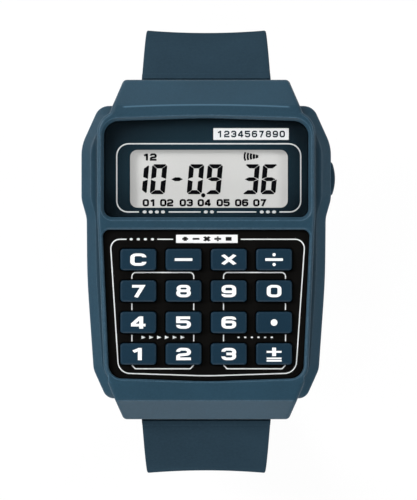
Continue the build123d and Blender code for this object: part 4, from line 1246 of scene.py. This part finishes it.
@dataclass
class Display:
    """The printed mask, the lines and labels on it, and the reading behind its window."""

    window_centre: Pair = (0.38, 9.79)
    window_size: Pair = (21.83, 8.01)
    window_radius: float = 1.0
    samples: int = 720
    air: float = 0.03
    ink: float = 0.02
    outer: tuple[Triple, ...] = (
        (0.0, 18.16, 60.0), (14.1, 17.71, 2.1), (14.1, 4.44, 1.2), (-14.1, 4.44, 1.2), (-14.1, 17.71, 2.1),
    )
    outer_steps: int = 40
    draw_in_share: float = 0.05 / 9
    photo: Photo = field(default_factory=Photo)
    line_width: float = 0.175
    line_box: tuple[float, float, float, float] = (116.9, 300.6, 143.9, 212.0)
    line_gaps: tuple[Pair, ...] = ((139.0, 168.7), (200.7, 217.0), (256.2, 279.4))
    small_rows: tuple[Row, ...] = (
        ("....", (144.7, 212.0), 0.85, (1.0, 0.9), 0.4),
        ("..", (205.8, 212.0), 0.85, (1.0, 0.9), 0.4),
        ("...", (261.7, 212.0), 0.85, (1.0, 0.9), 0.4),
    )
    label: Label = Label(
        "display_label", (251.0, 134.2), (10.44, 1.62), 0.08,
        ("1234567890", (219.8312, 134.2), 0.96, (0.74, 0.92), 0.4), "display_label_numerals", MASK,
    )
    digit: Pair = (2.09, 4.16)
    digit_weight: float = 0.68
    digit_flat: float = 0.84
    digit_thin: float = 0.78
    digit_gap: float = 0.035
    digit_cut: float = 0.26
    waist_shares: Pair = (0.7, 1.4)
    lean: float = 0.09
    dash_stretch: Pair = (0.92, 1.0)
    lit: tuple[tuple[str, str], ...] = (
        ("0", "abcdef"), ("1", "bc"), ("3", "abcdg"), ("6", "acdefg"), ("9", "abcdfg"), ("-", "g"),
    )
    digits: tuple[tuple[float, str], ...] = (
        (140.3, "1"), (158.5, "0"), (177.1, "-"), (195.5, "0"), (214.1, "9"), (251.1, "3"), (269.3, "6"),
    )
    digits_y: float = 179.2
    point: tuple[Pair, float] = ((203.3, 195.3), 0.3)
    numerals: tuple[Row, ...] = (
        ("12", (146.2, 157.0), 0.98, (0.9, 0.96), 0.5),
        *(
            (f"0{index}", (x, 202.7), 0.96, (0.84, 0.96), 0.5)
            for index, x in enumerate((145.8, 163.2, 182.8, 200.8, 219.8, 238.2, 256.4), start=1)
        ),
    )
    chime: tuple[float, float, float, int] = (244.6, 156.4, 3.1, 5)
    chime_sizes: tuple[Pair, Pair, Pair] = ((0.58, -0.09), (0.13, -0.02), (0.25, 0.03))
    chime_share: float = 0.45

    def mask(self) -> Pair:
        """The printed panel with its window, a hair under the lens.

        Returns:
            Height of its top, and of what is printed on it.
        """
        low, high = (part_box("display_mask")[side][2] / MM for side in (0, 1))
        outer = dense(rounded(list(self.outer), steps=self.outer_steps))
        outer = (outer - self.window_centre) * (1 - self.draw_in_share) + self.window_centre
        window = dense(box_outline(self.window_centre, self.window_size, self.window_radius))
        loops = [polar_loop(path, self.window_centre, self.samples) for path in (outer, window)]
        top = high - self.air
        made = piece("mask_panel", [frame_slab(*loops, low, top)], MASK)
        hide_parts("display_mask")
        return top, top + self.ink

    def window_line(self, heights: Pair) -> list[Shape]:
        """The line round the window, with three gaps along its foot.

        Args:
            heights: Heights of the ink's underside and top.

        Returns:
            One band for each unbroken run.
        """
        left, right, top, foot = self.line_box
        first, middle, last = self.line_gaps
        lines = [
            [(first[0], foot, 0), (left, foot, 11), (left, top, 12), (right, top, 12), (right, foot, 11),
             (last[1], foot, 0)],
            [(first[1], foot, 0), (middle[0], foot, 0)],
            [(middle[1], foot, 0), (last[0], foot, 0)],
        ]
        return self.photo.strokes(lines, self.line_width, heights)

    def bars(self) -> dict[str, np.ndarray]:
        """Outlines of the seven bars of a digit, with cut corners.

        Returns:
            The outlines round the digit's centre, by the bar's usual letter.
        """
        width, height = self.digit[0] / 2, self.digit[1] / 2
        weight, gap, cut = self.digit_weight, self.digit_gap, self.digit_cut
        flat, thin = weight * self.digit_flat, weight * self.digit_thin / 2
        end, inner, tip = width - cut / 2 - gap, width - weight, width - weight / 4
        inside, outside = (gap * share for share in self.waist_shares)
        top = [(cut - width, height), (width - cut, height), (end, height - cut / 2),
               (inner - gap, height - flat), (gap - inner, height - flat), (-end, height - cut / 2)]
        upper = np.array([
            (width, height - cut), (width - cut / 2, height - cut / 2 - gap), (inner, height - flat - gap),
            (inner, thin + inside), (width, outside),
        ])
        middle = [(-tip, 0), (gap - inner, thin), (inner - gap, thin),
                  (tip, 0), (inner - gap, -thin), (gap - inner, -thin)]
        return {
            "a": np.array(top), "d": np.array(top) * (1, -1), "g": np.array(middle),
            "b": upper, "c": upper * (1, -1), "e": upper * (-1, -1), "f": upper * (-1, 1),
        }

    def reading(self, heights: Pair) -> list[Shape]:
        """The seven-bar digits, leant over to the right, the point, and the small numerals and chime sign.

        Args:
            heights: Heights of the ink's underside and top.

        Returns:
            The shapes.
        """
        bars, lit = self.bars(), dict(self.lit)
        shapes = [
            slab(bars[letter], *heights).sheared(self.lean).moved(
                self.photo.at(x, self.digits_y), self.dash_stretch if digit == "-" else (1, 1)
            )
            for x, digit in self.digits
            for letter in lit[digit]
        ]
        spot, radius = self.point
        shapes.append(slab(circle(self.photo.at(*spot), radius), *heights))
        shapes += self.photo.rows(self.numerals, heights)
        start, level, pitch, count = self.chime
        for index in range(count):
            x, y = self.photo.at(start + pitch * index, level)
            tall, deep, width = (first + change * index for first, change in self.chime_sizes)
            bent = tall * self.chime_share
            bow = np.array([(x + deep, y + tall), (x, y + bent), (x, y - bent), (x + deep, y - tall)])
            shapes.append(stroke(bow, width, *heights))
        return shapes

    def build(self) -> None:
        """Builds the mask and what is printed on it, and the reading on the display's sheet."""
        heights = self.mask()
        piece("window_line", self.window_line(heights), INK_LINE)
        self.label.build(self.photo, heights, self.ink / 2)
        piece("display_small_marks", self.photo.rows(self.small_rows, heights), INK_LINE)
        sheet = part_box("lcd_front_polariser")[1][2] / MM
        piece("display_reading", self.reading((sheet, sheet + self.ink)), SEGMENT)


@dataclass
class Line:
    """Line in the side view that starts straight and goes through runs, each with a length and a turn."""

    start: Pair
    heading: float
    runs: tuple[Pair, ...]
    side: int = 1

    def at(self, travel: np.ndarray) -> tuple[np.ndarray, np.ndarray, np.ndarray]:
        """Places, directions and outward normals along the line, as rows of Y and Z.

        In a run with turn a over length l, the heading changes evenly, and the place is the run's
        start plus l / a times (sin of the heading less sin of the first, and the cosines reversed).
        Before the first run and past the last, the line goes straight on.

        Args:
            travel: Distances along the line.

        Returns:
            Places, unit directions and unit normals.
        """
        place, angle = np.empty((len(travel), 2)), np.empty(len(travel))
        here, first, past = np.array(self.start), math.radians(self.heading), 0.0
        runs = [(0.0, 0.0), *self.runs, (0.0, 0.0)]
        for index, (length, turn) in enumerate(runs):
            low = -np.inf if index == 0 else past
            high = np.inf if index == len(runs) - 1 else past + length
            inside = (travel >= low) & (travel <= high)
            ahead = np.append(travel[inside] - past, length)
            bend = math.radians(turn) / length if turn else 0.0
            now = first + bend * ahead
            if bend:
                step = np.stack([np.sin(now) - math.sin(first), math.cos(first) - np.cos(now)], axis=1) / bend
            else:
                step = ahead[:, None] * (math.cos(first), math.sin(first))
            angle[inside], place[inside] = now[:-1], here + step[:-1]
            here, first, past = here + step[-1], now[-1], past + length
        flip = (self.side, 1)
        return place * flip, unit(angle) * flip, leftwards(unit(angle)) * flip

    def carried(self, shape: Shape, travel: float) -> Shape:
        """Sets a shape on the line.

        Args:
            shape: The shape, drawn with X across, Y along and Z outwards.
            travel: Where its origin goes, as a distance along the line.

        Returns:
            The shape in its place.
        """
        place, along, outward = (row[0] for row in self.at(np.array([travel])))
        across, ahead, out = np.split(shape.points, 3, axis=1)
        return Shape(np.hstack([across, place + ahead * along + out * outward]), shape.faces)


@dataclass
class StrapHalf:
    """One half of the strap: a section with rounded edges carried from the bar round the wrist."""

    node: str
    body: Body
    side: int
    reach: float
    after_bend: tuple[Pair, ...]
    bar: Pair = (20.8, 3.2)
    lead: Pair = (25.0, 1.0)
    thick: float = 1.2
    barrel: float = 2.1
    end_barrel: float = 1.7
    widths: Pair = (9.0, 8.0)
    taper: float = 26.0
    front: float = 23.0
    corner: float = 0.24
    dish: float = 0.34
    dish_ends: tuple[Pair, Pair] = ((0.4, 5.0), (2.0, 6.0))
    lip: Triple = (2.07, 2.86, 0.42)
    lip_soft: float = 0.1
    tip_round: float = 7.2
    holes: int = 0
    hole: Triple = (1.0, 9.0, 5.5)
    slot: Triple = (1.2, -1.75, 3.1)
    slot_corner: float = 0.3
    pin_holes: Pair = (0.8, 0.75)
    end_share: float = 0.0005
    hair: float = 0.001
    overrun: float = 1.0
    radius_shares: Pair = (0.49, 0.9)
    step: float = 0.6
    rows: tuple[int, int, int] = (14, 26, 12)
    face_steps: int = 18
    corner_steps: int = 5
    hole_steps: int = 40

    @cached_property
    def line(self) -> Line:
        """Middle line: from over the bar, straight, then a bend to the side of the wrist, and on.

        Returns:
            The line, whose bend has the radius that brings it to its reach.
        """
        turn, straight = self.lead
        lean = math.radians(turn)
        rise = self.barrel - self.thick
        start = (self.bar[0] + rise * math.sin(lean), self.bar[1] + rise * math.cos(lean))
        radius = (self.reach - start[0] - straight * math.cos(lean)) / (1 - math.sin(lean))
        bend = (radius * math.radians(90 - turn), turn - 90)
        return Line(start, -turn, ((straight, 0.0), bend, *self.after_bend), self.side)

    @cached_property
    def total(self) -> float:
        """Length of the middle line."""
        return sum(length for length, _ in self.line.runs)

    def travels(self) -> np.ndarray:
        """Distances of the rows: even along the strap, closer at both ends and over the lip.

        Returns:
            The distances, in order.
        """
        buckle = self.side > 0
        tail, reach = (self.end_barrel, self.end_barrel) if buckle else (0.0, self.tip_round)
        few, many, inside = self.rows
        start = self.barrel * (self.end_share - 1) * np.cos(np.linspace(0, math.pi / 2, few))
        even = self.total - reach
        middle = np.linspace(0, even, round(even / self.step))
        lip = np.linspace(self.lip[0] - self.lip_soft, self.lip[1] + self.lip_soft, many)
        finish = self.total + tail - (reach + tail) * (1 - np.sin(np.linspace(0, math.pi / 2, many)))
        finish[-1] -= self.end_share * self.end_barrel * buckle
        inner = np.linspace(0, self.barrel, inside)
        return np.unique(np.round(np.concatenate([start, middle, lip, finish, inner]), 4))

    def faces_at(self, travel: np.ndarray) -> tuple[np.ndarray, np.ndarray]:
        """Heights of the outer and inner face over the middle line.

        Round the bar both follow the barrel's circle, whose centre is below the line. The lip is a
        bump with soft shoulders. The buckle end follows a circle, and the tip is rounded off.

        Args:
            travel: Distances of the rows.

        Returns:
            The outer and the inner height.
        """
        drop = self.barrel - self.thick
        ring = arc_height(self.barrel, travel)
        outer = np.where(travel < 0, ring - drop, self.thick)
        inner = np.where(travel < 0, -ring - drop, np.minimum(-self.thick, np.where(ring > 0, -ring - drop, 0)))
        low, high, height = self.lip
        soft = self.lip_soft
        outer = outer + height * eased(ramp(travel, low - soft / 2, soft) * ramp(-travel, -high - soft / 2, soft))
        if self.side > 0:
            past = travel > self.total
            end = arc_height(self.end_barrel, travel - self.total)
            return np.where(past, end, np.maximum(outer, end)), np.where(past, -end, np.minimum(inner, -end))
        trim = self.corner - arc_height(self.corner, np.maximum(self.corner - (self.total - travel), 0))
        return outer - trim, inner + trim

    def half_width(self, travel: np.ndarray, place: np.ndarray) -> np.ndarray:
        """Half width: straight sides as seen from the front as far as the side of the wrist, an even
        taper down to a depth, and a round tip on the half with holes.

        Args:
            travel: Distances of the rows.
            place: Their places.

        Returns:
            The half widths.
        """
        start, end = self.widths
        width = start + ramp(-place[:, 1], -self.bar[1], self.taper) * (end - start)
        out = np.abs(place[:, 0])
        side = int(np.argmax(out > out.max() - self.hair))
        straight = start + ramp(out, self.front, out[side] - self.front) * (width[side] - start)
        width = np.where(np.arange(len(out)) < side, np.minimum(width, straight), width)
        if self.side < 0:
            left = np.maximum(self.tip_round - (self.total - travel), 0)
            width = width - self.tip_round + arc_height(self.tip_round, left)
        return width

    def stations(self) -> tuple[np.ndarray, np.ndarray, np.ndarray]:
        """Stations round the section: across the outer face, round an edge, back, and round the other.

        Returns:
            Each station's share across the flat, its angle, and whether it hangs on the outer face.
        """
        flat = np.linspace(-1, 1, self.face_steps + 1)
        corner = np.linspace(0, math.pi / 2, self.corner_steps + 1)[1:]
        back, ones = corner + math.pi / 2, np.ones(self.corner_steps)
        sides = (flat, ones, ones, flat[::-1], -ones, -ones[1:])
        angles = (0 * flat, corner, back, 0 * flat + math.pi, math.pi + corner, math.pi + back[:-1])
        outside = [np.full(len(run), on) for run, on in zip(sides, (True, True, False, False, False, True))]
        return np.concatenate(sides), np.concatenate(angles), np.concatenate(outside)

    def surface(self) -> Shape:
        """Section carried along the line.

        A station has a share a across the flat, from -1 to 1, and an angle t round its corner: its
        place across is a (w - r) + r sin t, and outwards it is the face's height less r, plus
        r cos t, less the dish times (1 - a squared) on the outer face.

        Returns:
            The closed strap, without its holes.
        """
        travel = self.travels()
        place, _, outward = self.line.at(travel)
        outer, inner = self.faces_at(travel)
        width = self.half_width(travel, place)
        across, angles, on_top = self.stations()
        of_height, of_width = self.radius_shares
        radius = np.minimum(np.minimum(self.corner, (outer - inner) * of_height), width * of_width)[:, None]
        (near, rise), (far, fall) = self.dish_ends
        fade = eased(ramp(travel, self.lip[1] + near, rise) * ramp(-travel, far - self.total, fall))
        hollow = self.dish * fade[:, None] * (1 - across**2) * (angles == 0)
        sideways = across * (width[:, None] - radius) + radius * np.sin(angles)
        base = np.where(on_top, outer[:, None] - radius, inner[:, None] + radius)
        height = (base + radius * np.cos(angles) - hollow)[..., None]
        return swept(np.dstack([sideways, place[:, None, :] + height * outward[:, None, :]]))

    def cutters(self) -> list[Shape]:
        """What is taken out: the bar's hole, and either the buckle's hole and slot or the seven holes.

        Returns:
            The closed shapes, in place.
        """
        line, total, deep, wide = self.line, self.total, 2 * self.barrel, self.widths[0] + self.overrun

        def bore(travel: float, below: float, radius: float) -> Shape:
            """Round hole across the strap.

            Args:
                travel: Its distance along the line.
                below: How far its axis lies under the line.
                radius: Its radius.

            Returns:
                The closed shape in its place.
            """
            rod = slab(circle((0.0, 0.0), radius, self.hole_steps), -wide, wide)
            rod.points = rod.points[:, [2, 0, 1]] - (0, 0, below)
            return line.carried(rod, travel)

        cuts = [bore(0.0, self.barrel - self.thick, self.pin_holes[0])]
        if self.side > 0:
            half, low, high = self.slot
            opening = box_outline((0.0, (low + high) / 2), (2 * half, high - low), self.slot_corner)
            cuts += [line.carried(slab(opening, -deep, deep), total), bore(total, 0.0, self.pin_holes[1])]
        radius, first, pitch = self.hole
        rod = slab(circle((0.0, 0.0), radius, self.hole_steps), -deep, deep)
        return cuts + [line.carried(rod, total - first - index * pitch) for index in range(self.holes)]

    def build(self) -> None:
        """Builds the half in place of its plain solid."""
        made = carved(f"{self.node}_moulding", self.surface(), self.cutters())
        worn(made, STRAP, self.body.value)
        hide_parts(self.node)


@dataclass
class Keeper:
    """Loose loop on the short strap half: a rounded band carried round a rectangle."""

    middle: Pair = (8.85, 3.2)
    outwards: float = 1.15
    thick: float = 0.55
    half_length: float = 2.5
    corner: float = 0.32
    bends: Pair = (0.06, 0.9)
    turn: float = 40.0
    wrist: Pair = (81.0, 50.894)

    def build(self) -> None:
        """Builds the loop; its section's offset from the rectangle sets the rectangle's size."""
        before = UPPER_STRAP.total - self.wrist[1] * (1 - self.turn / self.wrist[0])
        section = box_outline((0.0, 0.0), (2 * self.thick, 2 * self.half_length), self.corner)
        rings = []
        for offset, along in section:
            size = [2 * (half + offset) for half in self.middle]
            bend = np.interp(offset, (-self.thick, self.thick), self.bends)
            rings.append(lifted(box_outline((0.0, self.outwards), size, bend), along)[:, [0, 2, 1]])
        faces = quads(len(rings), len(rings[0]), looped=True)
        made = carved("keeper_moulding", UPPER_STRAP.line.carried(Shape(np.vstack(rings), faces), before), [])
        worn(made, STRAP, Body.KEEPER.value)
        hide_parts("keeper")


@dataclass(frozen=True)
class Coil:
    """Round wire wound along x from the end that stays."""

    name: str
    node: str
    body: Body
    joint: str
    axis_place: Pair
    ends: Pair
    radii: Pair
    turns: float
    travel: float
    wire_steps: int = 8
    turn_steps: int = 18

    def build(self) -> None:
        """Winds the wire: its middle goes round the axis while it moves along it."""
        inner, outer = self.radii
        wire = (outer - inner) / 2
        stays, free = self.ends
        share = np.linspace(0.0, 1.0, int(self.turns * self.turn_steps) + 1)
        along = stays + math.copysign(1.0, free - stays) * (wire + share * (abs(free - stays) - 2 * wire))
        turn = unit(share * self.turns * math.tau)[:, None, :]
        section = wire * unit(np.arange(self.wire_steps) / self.wire_steps * math.tau)
        reach = ((inner + outer) / 2 + section[:, 0])[None, :, None]
        points = np.dstack([along[:, None] + section[:, 1], self.axis_place + reach * turn])
        made = piece(self.name, [swept(points)], BRIGHT, self.body.value)
        smooth(made.data)
        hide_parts(self.node)
        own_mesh(made)


@dataclass
class Membrane:
    """Rubber sheet over the board, with a hollow dome under each key."""

    low: float = 3.55
    top: float = 4.05
    middle_y: float = -6.935
    size: Pair = (25.2, 18.53)
    corner: float = 1.0
    dome_top: float = 5.35
    hollow_top: float = 4.95
    radii: tuple[float, float, float, float] = (1.7, 1.1, 1.3, 0.85)
    soft: float = 0.12
    travel: float = 0.58
    overrun: float = 0.2
    count: int = 40

    def dome(self, key: str, place: Pair) -> None:
        """Turns the dome's wall, drawn as radius and height, round its axis.

        Args:
            key: Name of the key over it.
            place: Where its axis stands.
        """
        foot, crown, hollow_foot, hollow_crown = self.radii
        soft, top, roof, hollow = self.soft, self.top, self.dome_top, self.hollow_top
        wall = [
            (crown - 3 * soft, roof), (crown - soft, roof), (crown, roof - soft), (foot - soft, top + soft),
            (foot, top), (hollow_foot, top), (hollow_crown, hollow), (hollow_crown - 3 * soft, hollow),
        ]
        rings = [lifted(circle(place, radius, self.count), height) for radius, height in wall]
        made = piece(f"dome_{key}", [swept(np.stack(rings))], SILICONE)
        keep = 1 - self.travel / (roof - top)
        place[0] * MM
        place[1] * MM
        top * MM
        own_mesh(made)

    def build(self) -> None:
        """Builds the sheet, open under each dome, and the domes."""
        outline = box_outline((0.0, self.middle_y), self.size, self.corner)
        boxes = {node: np.array(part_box(node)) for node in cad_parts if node.startswith("key_")}
        places = {node: tuple(box[:, :2].mean(axis=0) / MM) for node, box in boxes.items()}
        ends = (self.low - self.overrun, self.top + self.overrun)
        holes = [slab(circle(place, self.radii[2], self.count), *ends) for place in places.values()]
        made = carved("membrane_sheet", slab(outline, self.low, self.top), holes)
        worn(made, SILICONE, Body.HEAD.value)
        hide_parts("keypad_membrane")
        for key, place in places.items():
            self.dome(key, place)


COILS = (
    Coil(
        "pusher_coil", "pusher_spring", Body.HEAD, "side_button_press",
        (9.84, 4.6), (15.23, 16.27), (0.73, 0.93), turns=3.0, travel=0.5,
    ),
    *(
        Coil(
            f"{end}_bar_coil_{side}", f"{end}_bar_spring", body, f"{end}_bar_tip_{side}_slide",
            (way_out * 20.8, 3.2), (0.0, out * 7.32), (0.42, 0.58), turns=17.0, travel=1.05,
            wire_steps=6, turn_steps=14,
        )
        for end, body, way_out in (("upper", Body.SHORT_STRAP, 1), ("lower", Body.LONG_STRAP, -1))
        for side, out in (("right", 1), ("left", -1))
    ),
)

UPPER_STRAP = StrapHalf("strap_buckle_side", Body.SHORT_STRAP, 1, 30.2, ((50.894, -81.0),))
LOWER_STRAP = StrapHalf(
    "strap_hole_side", Body.LONG_STRAP, -1, 30.9, ((32.8, 0.0), (31.416, -90.0), (31.0, 0.0)), holes=7
)


@dataclass
class Studio:
    """White floor and surroundings, soft lamps and the camera. Places are in metres.

    Each lamp has its place, its width, its power and its share in highlights.
    """

    floor_height: float = -0.0643
    floor_reach: float = 2.5
    floor_white: Colour = (250, 250, 250)
    floor_roughness: float = 0.9
    floor_specular: float = 0.1
    floor_seen: float = 0.95
    aim: Triple = (0.0, 0.0, 0.0)
    camera_distance: float = 0.45
    camera_plane: float = 0.007
    camera_near: float = 0.01
    view_height: float = 0.0693
    view_centre: Pair = (0.00032, -0.00007)
    fill: float = 0.18
    fill_colour: tuple[float, float, float, float] = (0.95, 0.98, 1.0, 1.0)
    white: tuple[float, float, float, float] = (1.0, 1.0, 1.0, 1.0)
    ceiling: Pair = (0.02, 0.26)
    lamps: tuple[tuple[str, Triple, float, float, float], ...] = (
        ("lamp_left", (-0.42, 0.22, 0.36), 0.22, 3.15, 0.5),
        ("lamp_right", (0.44, 0.10, 0.36), 0.22, 1.3, 0.5),
        ("lamp_top", (-0.10, 0.52, 0.22), 0.30, 0.6, 0.6),
        ("lamp_foot", (-0.05, -0.54, 0.20), 0.30, 2.2, 0.1),
        ("lamp_front", (-0.28, 0.36, 0.62), 0.40, 0.3, 1.0),
    )

    def floor(self) -> None:
        """Floor that is white to the camera and still takes some shadow."""
        mesh = bpy.data.meshes.new("floor")
        corners = self.floor_reach * np.array([(-1, -1), (1, -1), (1, 1), (-1, 1)])
        mesh.from_pydata(lifted(corners, self.floor_height), [], [(0, 1, 2, 3)])
        made = linked("floor", mesh)
        net = Paint("floor_white")
        net.put(
            Base_Color=linear(self.floor_white),
            Roughness=self.floor_roughness,
            Specular_IOR_Level=self.floor_specular,
        )
        glow = net.node("ShaderNodeEmission", None, {"Color": self.white, "Strength": 1.0})
        seen = net.node("ShaderNodeLightPath", output="Is Camera Ray") * self.floor_seen
        net.show(net.node("ShaderNodeMixShader", None, {0: seen, 1: net.shader, 2: glow}))
        mesh.materials.append(net.material)

    def surroundings(self) -> None:
        """World that is white where it is seen or reflected near the horizon, and a soft fill elsewhere."""
        world = bpy.data.worlds.new("studio")
        bpy.context.scene.world = world
        net = Net(world, "ShaderNodeOutputWorld")
        fill, white = (
            net.node("ShaderNodeBackground", None, {"Color": colour, "Strength": strength})
            for colour, strength in ((self.fill_colour, self.fill), (self.white, 1.0))
        )
        towards = net.node("ShaderNodeTexCoord", output="Generated")
        low = 1 - net.node("ShaderNodeSeparateXYZ", None, {0: towards}, "Z").within(*self.ceiling)
        path = seen = net.node("ShaderNodeLightPath", output="Is Camera Ray")
        for ray in ("Is Glossy Ray", "Is Transmission Ray"):
            seen = seen.larger(path.beside(ray) * low)
        net.show(net.node("ShaderNodeMixShader", None, {0: seen, 1: fill, 2: white}))

    def light(self) -> None:
        """Square lamps, each turned to the watch."""
        for name, place, size, power, sheen in self.lamps:
            data = bpy.data.lights.new(name, "AREA")
            data.size, data.energy, data.specular_factor = size, power, sheen
            lamp = linked(name, data)
            lamp.location = place
            lamp.rotation_euler = (Vector(self.aim) - Vector(place)).to_track_quat("-Z", "Y").to_euler()

    def camera(self) -> None:
        """Camera straight above the display, with 12 o'clock at the top."""
        data = bpy.data.cameras.new("camera")
        data.sensor_fit = "VERTICAL"
        data.angle = 2 * math.atan(self.view_height / 2 / self.camera_distance)
        data.clip_start = self.camera_near
        made = linked("camera", data)
        made.location = (*self.view_centre, self.camera_plane + self.camera_distance)
        bpy.context.scene.camera = made

    def build(self) -> None:
        """Builds all of it."""
        self.camera()
        self.floor()
        self.surroundings()
        self.light()
        bpy.context.scene.view_settings.view_transform = "Standard"


def plain(box: object) -> list[list[float]]:
    """A box's two corners as plain lists."""
    return [[float(number) for number in corner] for corner in box]


def main() -> None:
    """Builds the studio, dresses the nodes, and adds the pieces."""
    logging.basicConfig(level=logging.INFO, format="%(message)s")
    Studio().build()
    for finish, names in NODE_FINISHES.items():
        Wardrobe.dress(finish, names)
    Keypad().build()
    Display().build()
    UPPER_STRAP.build()
    LOWER_STRAP.build()
    Keeper().build()
    Membrane().build()
    for coil in COILS:
        coil.build()


if __name__ == "__main__":
    main()
